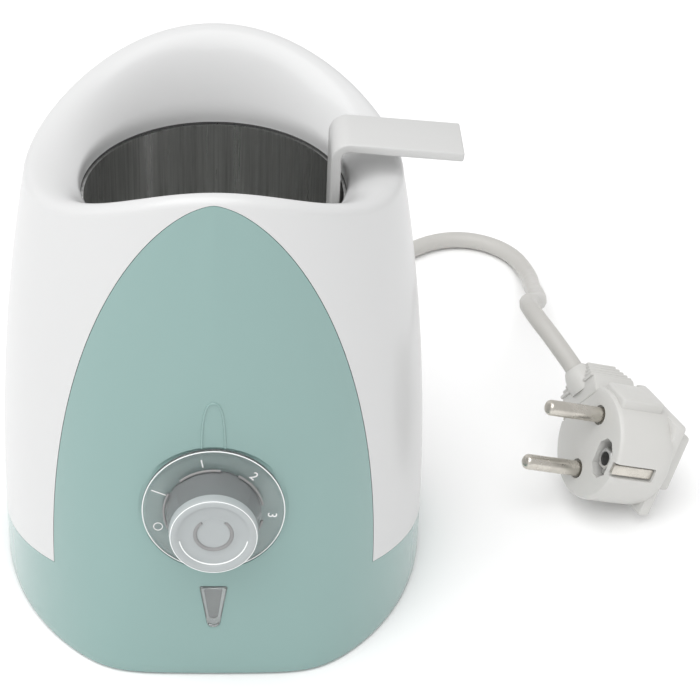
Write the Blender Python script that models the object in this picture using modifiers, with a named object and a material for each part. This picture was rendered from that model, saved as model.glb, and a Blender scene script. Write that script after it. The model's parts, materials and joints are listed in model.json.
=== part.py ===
"""A bottle warmer: a moulded housing round a metal well, its heater, a thermostat, a jar lifter and a lead.

Metres, +Z up. The origin is where the well's axis meets the table, and the control panel faces -Y.
"""

import math

import bmesh
import bpy
from mathutils import Matrix, Vector

# Housing
HOUSING_FOOT = 0.0008
WALL = 0.0020
HALF_WIDTH = 0.0624
BACK_DEPTH = 0.0556
PLAN_CENTRE_Y = 0.0054
FRONT_Y = -0.0594
FRONT_LEAN = math.radians(5)
CREST_SIDE = 0.134
CREST_FRONT = 0.1512
CREST_BACK = 0.1497
CREST_ROUND = 0.0030
OPENING_RADIUS = 0.0362
OPENING_Z = 0.129
COLLAR = 0.0040
COLUMNS = 60
SEAM = 0.0003
ARCH_TOP = 0.1492
ARCH_FOOT = 0.027
ARCH_HALF_WIDTH = 0.045
SKIRT_SLOPE = 0.29
SKIRT_SIDE = 0.015
SKIRT_BACK = 0.005

# Base
PLATE_BOTTOM = 0.0015
PLATE_TOP = 0.0040
FOOT_RADIUS = 0.0060
FOOT_PLACES = [(0.030, -0.036), (-0.030, -0.036), (0.023, 0.046), (-0.023, 0.046)]
POST_RADIUS = 0.0046
POST_BORE = 0.0018
POST_ANGLES = [-48, -132, 48, 132]
FRONT_POST_INSET = 0.0062
REAR_POST_INSET = 0.0078

# Well and heater
WELL_RADIUS = 0.0354
WELL_WALL = 0.0008
WELL_FLOOR = 0.038
WELL_TOP = 0.1243
PILLAR_CIRCLE = 0.0305
HEATER_TOP = 0.0369
ELEMENT_RADIUS = 0.0150

# Controls, measured from the panel's face along its leaning normal
KNOB_Z = 0.0573
KNOB_REACH = 0.0130
FLANGE_RADIUS = 0.01945
RECESS_RADIUS = 0.02025
RECESS_DEPTH = 0.0012
NECK_RADIUS = 0.0052
LENS_Z = 0.0243
LENS_HALF_WIDTH = 0.0039
LENS_HALF_HEIGHT = 0.00735

# Lifter
STEM_INNER_X = 0.0312
STEM_OUTER_X = 0.0339
LIFTER_HALF_WIDTH = 0.0081
LIFTER_TOP = 0.1440
LIFTER_TIP = (0.0666, 0.1410)
PLATFORM_RADIUS = 0.0320
PLATFORM_Z = 0.0420

# Mains lead
CORD_RADIUS = 0.0029
EXIT_Z = 0.016
BUSH_REACH = 0.026
COIL_CENTRE = (-0.020, 0.142)
COIL_RADIUS = 0.030
COIL_TURNS = 3 + 300 / 360
COIL_PITCH = 0.0061
COIL_FOOT = 0.0010
RUN_ROUTE = [
    (0.0123, 0.1260, 0.0036),
    (0.0270, 0.1332, 0.0031),
    (0.0420, 0.1379, 0.0030),
    (0.0566, 0.1436, 0.0030),
    (0.0697, 0.1517, 0.0030),
    (0.0782, 0.1571, 0.0030),
    (0.0864, 0.1594, 0.0030),
    (0.0946, 0.1585, 0.0030),
    (0.1018, 0.1547, 0.0030),
    (0.1072, 0.1486, 0.0031),
    (0.1101, 0.1407, 0.0037),
    (0.1109, 0.1303, 0.0064),
    (0.1095, 0.1149, 0.0132),
    (0.1081, 0.0978, 0.0220),
    (0.1061, 0.0819, 0.0302),
    (0.1008, 0.0687, 0.0390),
    (0.1011, 0.0577, 0.0424),
    (0.1050, 0.0480, 0.0413),
    (0.1094, 0.0418, 0.0376),
    (0.1108, 0.0399, 0.0363),
    (0.1119, 0.0385, 0.0351),
]

# Plug, in its own frame: X along the pins, Y towards the clip in view, Z from the lower pin to the upper
PLUG_FACE = (0.1142, 0.0163, 0.0240)
PIN_DIRECTION = (-0.904, -0.243, 0.351)
PIN_SPREAD = (0.303, 0.211, 0.929)
PLUG_RADIUS = 0.0175
PLUG_LENGTH = 0.0200
PIN_RADIUS = 0.0024
PIN_LENGTH = 0.0190
PIN_OFFSET = 0.0095
EARTH_OFFSET = 0.0098
BOOT_TURN = math.radians(55)
NECK_LEAN = math.radians(30)

WHITE = (0.86, 0.86, 0.87)
GREEN = (0.33, 0.50, 0.44)
STEEL = (0.62, 0.62, 0.61)
GREY = (0.55, 0.55, 0.54)


def clear_scene():
    for obj in list(bpy.data.objects):
        bpy.data.objects.remove(obj, do_unlink=True)


def new_collection(name):
    collection = bpy.data.collections.new(name)
    bpy.context.scene.collection.children.link(collection)
    return collection


def material(name, colour, roughness, metallic=0.0, transmission=0.0):
    mat = bpy.data.materials.new(name)
    mat.use_nodes = True
    shader = mat.node_tree.nodes["Principled BSDF"]
    shader.inputs["Base Color"].default_value = (*colour, 1)
    shader.inputs["Roughness"].default_value = roughness
    shader.inputs["Metallic"].default_value = metallic
    shader.inputs["Transmission Weight"].default_value = transmission
    return mat


def add_part(name, mesh, mat, parent=None):
    obj = bpy.data.objects.new(name, mesh)
    parts.objects.link(obj)
    obj.data.materials.append(mat)
    obj.parent = parent
    return obj


def as_cutter(obj):
    """Turns a shape into a helper that only cuts or joins."""
    for collection in list(obj.users_collection):
        collection.objects.unlink(obj)
    cutters.objects.link(obj)
    obj.hide_render = True
    obj.display_type = "WIRE"
    return obj


def combine(obj, other, operation):
    modifier = obj.modifiers.new(operation.title(), "BOOLEAN")
    modifier.object = as_cutter(other)
    modifier.operation = operation


def cut(obj, *others):
    for other in others:
        combine(obj, other, "DIFFERENCE")


def join(obj, *others):
    for other in others:
        combine(obj, other, "UNION")


def box(name, mat, size, centre, parent=None, bevel=0.0):
    bm = bmesh.new()
    bmesh.ops.create_cube(bm, size=1)
    bmesh.ops.scale(bm, vec=size, verts=bm.verts)
    mesh = bpy.data.meshes.new(name)
    bm.to_mesh(mesh)
    bm.free()
    obj = add_part(name, mesh, mat, parent)
    obj.location = centre
    if bevel:
        modifier = obj.modifiers.new("Bevel", "BEVEL")
        modifier.width = bevel
        modifier.segments = 2
    return obj


def cylinder(name, mat, radius, bottom, top, place=(0, 0), segments=32, axis="Z", parent=None, tip=None):
    """A cylinder or cone from bottom to top along an axis; place is its position across that axis."""
    bm = bmesh.new()
    end = radius if tip is None else tip
    length = top - bottom
    bmesh.ops.create_cone(bm, cap_ends=True, segments=segments, radius1=radius, radius2=end, depth=length)
    mesh = bpy.data.meshes.new(name)
    bm.to_mesh(mesh)
    bm.free()
    for polygon in mesh.polygons:
        polygon.use_smooth = len(polygon.vertices) == 4
    obj = add_part(name, mesh, mat, parent)
    middle = (bottom + top) / 2
    if axis == "Z":
        obj.location = (place[0], place[1], middle)
    elif axis == "X":
        obj.location = (middle, place[0], place[1])
        obj.rotation_euler = (0, math.pi / 2, 0)
    else:
        obj.location = (place[0], middle, place[1])
        obj.rotation_euler = (-math.pi / 2, 0, 0)
    return obj


def turned(name, mat, profile, segments=48, closed=False, parent=None, centre=(0, 0, 0)):
    """A profile of (radius, height) points, top to bottom on its outer side, turned about Z."""
    bm = bmesh.new()
    corners = [bm.verts.new((radius, 0, height)) for radius, height in profile]
    for first, second in zip(corners, corners[1:]):
        bm.edges.new((first, second))
    if closed:
        bm.edges.new((corners[-1], corners[0]))
    mesh = bpy.data.meshes.new(name)
    bm.to_mesh(mesh)
    bm.free()
    obj = add_part(name, mesh, mat, parent)
    obj.location = centre
    screw = obj.modifiers.new("Screw", "SCREW")
    screw.steps = segments
    screw.render_steps = segments
    screw.use_merge_vertices = True
    screw.merge_threshold = 0.0001
    return obj


def tube(name, mat, points, radius, resolution=2, parent=None):
    curve = bpy.data.curves.new(name, "CURVE")
    curve.dimensions = "3D"
    curve.bevel_depth = radius
    curve.bevel_resolution = resolution
    curve.use_fill_caps = True
    spline = curve.splines.new("POLY")
    spline.points.add(len(points) - 1)
    for point, place in zip(spline.points, points):
        point.co = (*place, 1)
    return add_part(name, curve, mat, parent)


def slab(name, mat, outline, depth, matrix=None, parent=None):
    """A flat outline in the XY plane, thickened to depth about that plane and made a closed mesh."""
    curve = bpy.data.curves.new(name, "CURVE")
    curve.dimensions = "2D"
    curve.fill_mode = "BOTH"
    curve.extrude = depth / 2
    spline = curve.splines.new("POLY")
    spline.points.add(len(outline) - 1)
    for point, (x, y) in zip(spline.points, outline):
        point.co = (x, y, 0, 1)
    spline.use_cyclic_u = True
    guide = bpy.data.objects.new(name + "_outline", curve)
    cutters.objects.link(guide)
    bpy.context.view_layer.update()
    graph = bpy.context.evaluated_depsgraph_get()
    mesh = bpy.data.meshes.new_from_object(guide.evaluated_get(graph))
    bpy.data.objects.remove(guide)
    bm = bmesh.new()
    bm.from_mesh(mesh)
    bmesh.ops.remove_doubles(bm, verts=bm.verts, dist=0.000001)
    bmesh.ops.recalc_face_normals(bm, faces=bm.faces)
    bm.to_mesh(mesh)
    bm.free()
    obj = add_part(name, mesh, mat, parent)
    if matrix:
        obj.matrix_local = matrix
    return obj


def smooth_route(points, spacing):
    """Points about one spacing apart on a smooth curve through the given ones."""
    route = [Vector(point) for point in points]
    ends = [2 * route[0] - route[1]] + route + [2 * route[-1] - route[-2]]
    found = [route[0]]
    for a, b, c, d in zip(ends, ends[1:], ends[2:], ends[3:]):
        steps = max(1, round((c - b).length / spacing))
        for step in range(1, steps + 1):
            t = step / steps
            square = (2 * a - 5 * b + 4 * c - d) * t**2
            cube = (3 * b - a - 3 * c + d) * t**3
            found.append(0.5 * (2 * b + (c - a) * t + square + cube))
    return found


def outline_point(angle, height, inset=0.0):
    """The housing's plan outline at a height: half an ellipse behind, and one cut off by the flat front."""
    lean = max(height, 0) / CREST_SIDE
    half_width = HALF_WIDTH - 0.0115 * lean**2.2 - inset
    centre_y = PLAN_CENTRE_Y * (1 - min(lean, 1))
    cosine = math.cos(angle)
    sine = math.sin(angle)
    if sine >= 0:
        back = PLAN_CENTRE_Y + BACK_DEPTH - 0.008 * lean**2.2 - centre_y - inset
        reach = 1 / math.hypot(cosine / half_width, sine / back)
        return reach * cosine, centre_y + reach * sine
    share = min(lean, 1)
    front = centre_y - FRONT_Y - height * math.tan(FRONT_LEAN) - inset
    bulge = front * (1.11 - 0.08 * share)
    power = 6 + 24 * (1 - share) ** 2
    flat = (front**-power - bulge**-power) ** (-1 / power) / max(-sine, 1e-6)
    ellipse = 1 / math.hypot(cosine / half_width, sine / bulge)
    reach = (ellipse**-power + flat**-power) ** (-1 / power)
    return reach * cosine, centre_y + reach * sine


def crest_height(angle):
    """The rim is a saddle: low at the sides and high in front and behind."""
    sine = math.sin(angle)
    if sine >= 0:
        return CREST_SIDE + (CREST_BACK - CREST_SIDE) * sine**1.9
    return CREST_SIDE + (CREST_FRONT - CREST_SIDE) * (-sine) ** 2.6


def housing_column(angle):
    """One upright section of the housing's skin, from its foot over the crest and down into the opening."""
    crest = crest_height(angle)
    shoulder = crest - CREST_ROUND
    column = []
    for share in (0, 0.1, 0.22, 0.36, 0.5, 0.64, 0.77, 0.89, 1):
        height = HOUSING_FOOT + share * (shoulder - HOUSING_FOOT)
        column.append((*outline_point(angle, height), height))
    for turn in (30, 60, 90):
        inset = CREST_ROUND * (1 - math.cos(math.radians(turn)))
        rise = CREST_ROUND * math.sin(math.radians(turn))
        column.append((*outline_point(angle, shoulder, inset), shoulder + rise))
    top_x, top_y, _ = column[-1]
    edge_x = OPENING_RADIUS * math.cos(angle)
    edge_y = OPENING_RADIUS * math.sin(angle)
    for share in (0.25, 0.5, 0.75, 1):
        x = top_x + (edge_x - top_x) * share
        y = top_y + (edge_y - top_y) * share
        column.append((x, y, OPENING_Z + (crest - OPENING_Z) * (1 - share**2)))
    column.append((edge_x, edge_y, OPENING_Z - COLLAR))
    return column


def loft(name, columns, caps=False):
    """A mesh through upright columns of points set round the vertical axis."""
    bm = bmesh.new()
    grid = [[bm.verts.new(point) for point in column] for column in columns]
    for first, second in zip(grid, grid[1:] + grid[:1]):
        for low, high in zip(range(len(first)), range(1, len(first))):
            bm.faces.new((first[low], second[low], second[high], first[high]))
    if caps:
        bm.faces.new([column[0] for column in reversed(grid)])
        bm.faces.new([column[-1] for column in grid])
    mesh = bpy.data.meshes.new(name)
    bm.to_mesh(mesh)
    bm.free()
    mesh.polygons.foreach_set("use_smooth", [not caps] * len(mesh.polygons))
    return mesh


def column_angles():
    return [2 * math.pi * column / COLUMNS for column in range(COLUMNS)]


def housing_skin(name, mat):
    obj = add_part(name, loft(name, [housing_column(angle) for angle in column_angles()]), mat)
    solidify = obj.modifiers.new("Solidify", "SOLIDIFY")
    solidify.thickness = WALL
    solidify.offset = -1
    return obj


def core(name, inset):
    """The space inside the housing's walls, carried up past the rim."""
    heights = [-0.006, 0.001, 0.02, 0.04, 0.06, 0.08, 0.1, 0.12, 0.135, 0.15, 0.17]
    columns = []
    for angle in column_angles():
        columns.append([(*outline_point(angle, height, inset), height) for height in heights])
    return add_part(name, loft(name, columns, caps=True), white)


def arch_outline(grow):
    """The panel's arch, seen from the front, down to below the table."""
    right = []
    for step in range(17):
        share = (step / 16) ** 2
        x = ARCH_HALF_WIDTH * (1 - (1 - share) ** 2) ** 0.6
        right.append((x + grow, ARCH_TOP + grow - share * (ARCH_TOP - ARCH_FOOT)))
    right[0] = (0, ARCH_TOP + grow)
    right.append((ARCH_HALF_WIDTH + grow, -0.005))
    left = [(-x, z) for x, z in reversed(right[1:])]
    return right + left


def front_region(name, grow):
    """The part of the housing's wall that is the coloured front: the arch and the skirt below it."""
    facing_front = Matrix.Translation((0, -0.051, 0)) @ Matrix.Rotation(math.pi / 2, 4, "X")
    region = slab(name, green, arch_outline(grow), 0.078, facing_front)
    bend = (SKIRT_SIDE - SKIRT_BACK) / SKIRT_SLOPE
    outline = [
        (-0.09, -0.005),
        (0.09, -0.005),
        (0.09, SKIRT_BACK + grow),
        (bend, SKIRT_BACK + grow),
        (-0.09, SKIRT_SIDE + 0.09 * SKIRT_SLOPE + grow),
    ]
    along_x = Matrix(((0, 0, 1, 0), (1, 0, 0, 0), (0, 1, 0, 0), (0, 0, 0, 1)))
    join(region, slab(name + "_skirt", green, outline, 0.16, along_x))
    cut(region, core(name + "_core", WALL + 0.0003 + grow))
    return region


def panel_frame(name, height):
    """An empty on the panel's face, with its Z axis along the face's normal."""
    empty = bpy.data.objects.new(name, None)
    parts.objects.link(empty)
    empty.location = (0, FRONT_Y + height * math.tan(FRONT_LEAN), height)
    empty.rotation_euler = (math.pi / 2 - FRONT_LEAN, 0, 0)
    return empty


def screw_post(number, bottom, top, inset):
    """A post for a base screw, as the post and the bore that is cut from it."""
    x, y = outline_point(math.radians(POST_ANGLES[number]), PLATE_TOP, inset)
    post = cylinder(f"post_{number}", white, POST_RADIUS, bottom, top, (x, y), 20)
    bore = cylinder(f"post_bore_{number}", white, POST_BORE, bottom - 0.002, top - 0.003, (x, y), 16)
    return post, bore


def make_outer_shell():
    shell = housing_skin("outer_shell", white)
    cut(shell, front_region("shell_cut", SEAM))
    for number in (2, 3):
        post, bore = screw_post(number, PLATE_TOP + 0.0003, 0.024, REAR_POST_INSET)
        angle = math.radians(POST_ANGLES[number])
        x, y = outline_point(angle, PLATE_TOP, REAR_POST_INSET - 0.0028)
        rib = box(f"post_rib_{number}", white, (0.005, 0.0022, 0.016), (x, y, 0.015))
        rib.rotation_euler = (0, 0, math.atan2(y - PLAN_CENTRE_Y, x))
        join(shell, post, rib)
        cut(shell, bore)
    back = PLAN_CENTRE_Y + BACK_DEPTH
    cut(shell, cylinder("exit_hole", white, 0.0058, back - 0.006, back + 0.006, (0, EXIT_Z), 24, "Y"))
    return shell


def egg_outline(half_width, half_height):
    """An upright shield: broad above, narrow and round below."""
    outline = []
    for step in range(28):
        angle = 2 * math.pi * step / 28
        reach = half_width * (1 + 0.28 * math.sin(angle))
        wide = math.copysign(abs(math.cos(angle)) ** 0.8, math.cos(angle))
        outline.append((reach * wide, half_height * math.sin(angle)))
    return outline


def make_front_housing(dial, lamp):
    housing = housing_skin("front_housing", green)
    combine(housing, front_region("front_region", 0), "INTERSECT")
    join(housing, cylinder("dial_seat", green, 0.0215, -0.0036, -0.0016, segments=48, parent=dial))
    recess = cylinder("dial_recess", green, RECESS_RADIUS, -RECESS_DEPTH, 0.006, segments=48, parent=dial)
    cut(housing, recess)
    cut(housing, cylinder("neck_hole", green, NECK_RADIUS + 0.0003, -0.01, 0.004, segments=24, parent=dial))
    hole = egg_outline(LENS_HALF_WIDTH + 0.0003, LENS_HALF_HEIGHT + 0.0003)
    cut(housing, slab("lens_hole", green, hole, 0.016, parent=lamp))
    for number in (0, 1):
        post, bore = screw_post(number, PLATE_TOP + 0.0003, 0.015, FRONT_POST_INSET)
        join(housing, post)
        cut(housing, bore)


def make_base():
    bm = bmesh.new()
    outline = [outline_point(angle, 0.001, WALL + 0.0004) for angle in column_angles()]
    bm.faces.new([bm.verts.new((x, y, PLATE_TOP)) for x, y in outline])
    mesh = bpy.data.meshes.new("base_plate")
    bm.to_mesh(mesh)
    bm.free()
    plate = add_part("base_plate", mesh, grey_plastic)
    solidify = plate.modifiers.new("Solidify", "SOLIDIFY")
    solidify.thickness = PLATE_TOP - PLATE_BOTTOM
    solidify.offset = -1
    join(plate, cylinder("centre_pad", grey_plastic, 0.012, 0, PLATE_TOP - 0.001, segments=32))
    for number in range(3):
        angle = math.radians(90 + 120 * number)
        place = (PILLAR_CIRCLE * math.cos(angle), PILLAR_CIRCLE * math.sin(angle))
        top = WELL_FLOOR - 0.001 - 0.0003
        join(plate, cylinder(f"pillar_{number}", grey_plastic, 0.0036, PLATE_TOP - 0.001, top, place, 20))
    for number in range(4):
        inset = FRONT_POST_INSET if number < 2 else REAR_POST_INSET
        place = outline_point(math.radians(POST_ANGLES[number]), PLATE_TOP, inset)
        cut(plate, cylinder(f"screw_hole_{number}", grey_plastic, POST_BORE, -0.001, 0.006, place, 16))
        cut(plate, cylinder(f"head_recess_{number}", grey_plastic, 0.0033, -0.001, 0.0029, place, 20))
        make_screw(f"base_screw_{number + 1}", place, 0.0016, 0.0105)
    for number, place in enumerate(FOOT_PLACES):
        cylinder(f"rubber_foot_{number + 1}", rubber, FOOT_RADIUS, 0, PLATE_BOTTOM - 0.0002, place, 24)


def make_screw(name, place, bottom, top, head_radius=0.003, shank_radius=0.0015):
    """A pan-head screw standing head down."""
    profile = [
        (0, top),
        (shank_radius, top - 0.0008),
        (shank_radius, bottom + 0.0012),
        (head_radius, bottom + 0.0012),
        (head_radius, bottom + 0.0004),
        (head_radius - 0.0005, bottom),
        (0, bottom),
    ]
    turned(name, steel, profile, 16, centre=(*place, 0))


def make_well():
    outside = WELL_RADIUS + WELL_WALL
    floor = WELL_FLOOR - 0.001
    corner = 0.006
    profile = [(0, WELL_FLOOR)]
    for turn in (0, 30, 60, 90):
        angle = math.radians(turn)
        radius = WELL_RADIUS - corner + corner * math.sin(angle)
        profile.append((radius, WELL_FLOOR + corner - corner * math.cos(angle)))
    lip = 0.0385
    under = WELL_TOP - WELL_WALL
    profile += [(WELL_RADIUS, WELL_TOP), (lip, WELL_TOP), (lip, under), (outside, under)]
    for turn in (90, 60, 30, 0):
        angle = math.radians(turn)
        radius = outside - corner + corner * math.sin(angle)
        profile.append((radius, floor + corner - corner * math.cos(angle)))
    profile.append((0, floor))
    turned("heating_well", steel, profile, 48)
    ring = [(0.0384, WELL_TOP + 0.0006), (0.0384, WELL_TOP + 0.0001), (0.0363, WELL_TOP + 0.0001)]
    ring.append((0.0363, WELL_TOP + 0.0006))
    turned("well_gasket", rubber, ring, 40, closed=True)


def make_heater():
    under = HEATER_TOP - 0.0002
    plate = cylinder("heater_plate", aluminium, 0.0245, under - 0.003, under, segments=40)
    join(plate, cylinder("heater_stud", aluminium, 0.0020, 0.0185, under - 0.001, segments=16))
    below = under - 0.003 - 0.0003
    height = below - 0.0032
    points = []
    for step in range(23):
        angle = math.radians(-60 + 300 * step / 22)
        points.append((ELEMENT_RADIUS * math.cos(angle), ELEMENT_RADIUS * math.sin(angle), height))
    first = Vector(points[0])
    last = Vector(points[-1])
    points = [first + Vector((0.0, -0.005, -0.007)), first + Vector((0, -0.004, -0.002))] + points
    points += [last + Vector((0.0, -0.004, -0.002)), last + Vector((0, -0.005, -0.007))]
    tube("heating_element", element_metal, points, 0.0031)
    bar_top = height - 0.0031 - 0.0003
    bar = box("heater_clamp", steel, (0.044, 0.010, 0.002), (0, 0.002, bar_top - 0.001), bevel=0.0004)
    cut(bar, cylinder("clamp_hole", steel, 0.0023, bar_top - 0.005, bar_top + 0.003, segments=16))
    nut = cylinder("heater_nut", steel, 0.0045, bar_top - 0.0053, bar_top - 0.0023, segments=6)
    cut(nut, cylinder("nut_hole", steel, 0.0023, bar_top - 0.009, bar_top, segments=16))
    cylinder("thermal_fuse", aluminium, 0.0018, -0.006, 0.006, (0.0215, below - 0.0028), 16, "X")
    clip = box("fuse_clip", steel, (0.004, 0.0048, 0.0052), (0, 0.0215, below - 0.0028), bevel=0.0003)
    cut(clip, cylinder("clip_hole", steel, 0.0021, -0.004, 0.004, (0.0215, below - 0.0028), 16, "X"))
    cylinder("temperature_sensor", aluminium, 0.0024, 0.062, 0.080, (-0.0196, -0.0339), 16)


def make_controls(dial, lamp):
    knob = [
        (0, 0.0112),
        (0.0060, 0.0114),
        (0.0088, 0.0122),
        (0.0100, KNOB_REACH),
        (0.0112, KNOB_REACH),
        (0.0117, KNOB_REACH - 0.0006),
        (0.01275, 0.0012),
        (0.0190, 0.0009),
        (FLANGE_RADIUS, 0.0004),
        (FLANGE_RADIUS, -0.0009),
        (0.0094, -0.0009),
        (0.0094, 0.0096),
        (0, 0.0096),
    ]
    turned("temperature_knob", clear_plastic, knob, 40, parent=dial)
    hub = [(0.0091, 0.0093), (0.0091, 0.0025), (0.0033, 0.0025), (0.0033, 0.0093)]
    turned("knob_hub", grey_plastic, hub, 32, closed=True, parent=dial)
    spindle = cylinder("thermostat_spindle", steel, 0.0030, -0.0105, 0.0088, segments=24, parent=dial)
    cut(spindle, box("spindle_flat", steel, (0.008, 0.003, 0.009), (0, 0.0037, 0.0063), parent=dial))
    case = (0.024, 0.020, 0.0085)
    body = box("thermostat_body", grey_plastic, case, (0, 0, -0.0090), parent=dial, bevel=0.0006)
    join(body, cylinder("neck", grey_plastic, NECK_RADIUS, -0.006, 0.0018, segments=24, parent=dial))
    cut(body, cylinder("spindle_bore", grey_plastic, 0.0033, -0.0118, 0.004, segments=24, parent=dial))
    nut = cylinder("thermostat_nut", steel, 0.0078, -0.0009, 0.0012, segments=6, parent=dial)
    thread = NECK_RADIUS + 0.0003
    cut(nut, cylinder("thermostat_nut_hole", steel, thread, -0.004, 0.004, segments=24, parent=dial))

    face = egg_outline(LENS_HALF_WIDTH, LENS_HALF_HEIGHT)
    lens = slab("indicator_lens", clear_plastic, face, 0.0036, Matrix.Translation((0, 0, -0.0011)), lamp)
    flange = egg_outline(LENS_HALF_WIDTH + 0.0012, LENS_HALF_HEIGHT + 0.0012)
    join(lens, slab("lens_flange", clear_plastic, flange, 0.0010, Matrix.Translation((0, 0, -0.0029)), lamp))
    holder = box("lamp_holder", white, (0.009, 0.013, 0.011), (0, 0, -0.0122), parent=lamp, bevel=0.0005)
    cut(holder, cylinder("lamp_bore", white, 0.0030, -0.0160, -0.005, segments=20, parent=lamp))
    neon = [
        (0, -0.0045),
        (0.0014, -0.0048),
        (0.0022, -0.0058),
        (0.0024, -0.0070),
        (0.0024, -0.0154),
        (0, -0.0154),
    ]
    turned("neon_lamp", glass, neon, 20, parent=lamp)


def make_wiring():
    block = box("terminal_block", white, (0.028, 0.011, 0.010), (0, 0.0430, 0.0093), bevel=0.0006)
    for x in (-0.009, 0, 0.009):
        cut(block, cylinder(f"terminal_bore_{x}", white, 0.0016, 0.036, 0.050, (x, 0.0100), 12, "Y"))
    routes = {
        "live_lead": [
            (0.0090, 0.0370, 0.0100),
            (0.0120, 0.0320, 0.0120),
            (0.0240, 0.0160, 0.0160),
            (0.0320, -0.0080, 0.0220),
            (0.0280, -0.0340, 0.0360),
            (0.0190, -0.0420, 0.0500),
            (0.0136, -0.0450, 0.0545),
        ],
        "neutral_lead": [
            (0.0000, 0.0370, 0.0100),
            (-0.0060, 0.0345, 0.0110),
            (-0.0120, 0.0240, 0.0130),
            (-0.0155, 0.0080, 0.0150),
            (-0.0130, -0.0100, 0.0170),
            (-0.0085, -0.0165, 0.0215),
        ],
        "earth_lead": [
            (-0.0090, 0.0370, 0.0100),
            (-0.0120, 0.0350, 0.0105),
            (-0.0200, 0.0330, 0.0160),
            (-0.0280, 0.0300, 0.0280),
            (-0.0290, 0.0290, 0.0460),
            (-0.0270, 0.0270, 0.0620),
        ],
        "lamp_lead": [
            (0.0050, -0.0418, 0.0240),
            (0.0100, -0.0400, 0.0260),
            (0.0150, -0.0400, 0.0360),
            (0.0120, -0.0400, 0.0410),
            (0.0080, -0.0425, 0.0445),
        ],
    }
    for name, route in routes.items():
        tube(name, wire, smooth_route(route, 0.006), 0.0010, 1)


def make_lifter():
    bend = 0.005
    thick = STEM_OUTER_X - STEM_INNER_X
    tip_x, tip_z = LIFTER_TIP
    slope = math.atan2(LIFTER_TOP - tip_z, tip_x - STEM_OUTER_X)
    centre_x = STEM_INNER_X + bend
    centre_z = LIFTER_TOP - bend
    foot = PLATFORM_Z + 0.0003
    outer = [(STEM_INNER_X, foot)]
    inner = [(STEM_OUTER_X, foot)]
    for step in range(6):
        angle = math.pi - (math.pi / 2 + slope) * step / 5
        outer.append((centre_x + bend * math.cos(angle), centre_z + bend * math.sin(angle)))
        inside = bend - thick
        inner.append((centre_x + inside * math.cos(angle), centre_z + inside * math.sin(angle)))
    outer.append((tip_x, tip_z))
    inner.append((tip_x - thick * math.sin(slope), tip_z - thick * math.cos(slope)))
    facing_front = Matrix.Rotation(math.pi / 2, 4, "X")
    handle = slab("lift_handle", white, outer + inner[::-1], 2 * LIFTER_HALF_WIDTH, facing_front)
    handle.modifiers.new("Bevel", "BEVEL").width = 0.0006
    blank = box("tip_blank", white, (0.012, 0.024, 0.020), (tip_x - 0.002, 0, tip_z))
    end_radius = 0.0110
    tip_centre = (tip_x - end_radius, 0)
    cut(blank, cylinder("tip_round", white, end_radius, tip_z - 0.015, tip_z + 0.015, tip_centre))
    cut(handle, blank)

    disc = cylinder("lift_platform", white, PLATFORM_RADIUS, PLATFORM_Z - 0.0018, PLATFORM_Z, segments=48)
    join(disc, box("stem_tab", white, (0.0060, 0.012, 0.0016), (0.0302, 0, PLATFORM_Z - 0.0008)))
    for ring, count in ((0.011, 5), (0.022, 9)):
        for number in range(count):
            angle = 2 * math.pi * (number + 0.5) / count
            place = (ring * math.cos(angle), ring * math.sin(angle))
            cut(disc, cylinder(f"drain_{ring}_{number}", white, 0.003, PLATFORM_Z - 0.006, 0.05, place, 12))


def coil_points(samples_per_turn):
    """The coil's centreline, from where the lead joins its top turn to where it leaves its lowest."""
    total = round(COIL_TURNS * samples_per_turn)
    points = []
    for step in range(total + 1):
        turned_by = 2 * math.pi * COIL_TURNS * step / total
        x = COIL_CENTRE[0] + COIL_RADIUS * math.cos(turned_by)
        y = COIL_CENTRE[1] + COIL_RADIUS * math.sin(turned_by)
        z = COIL_FOOT + CORD_RADIUS + COIL_PITCH * COIL_TURNS * (1 - step / total)
        points.append(Vector((x, y, z)))
    return points


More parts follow.
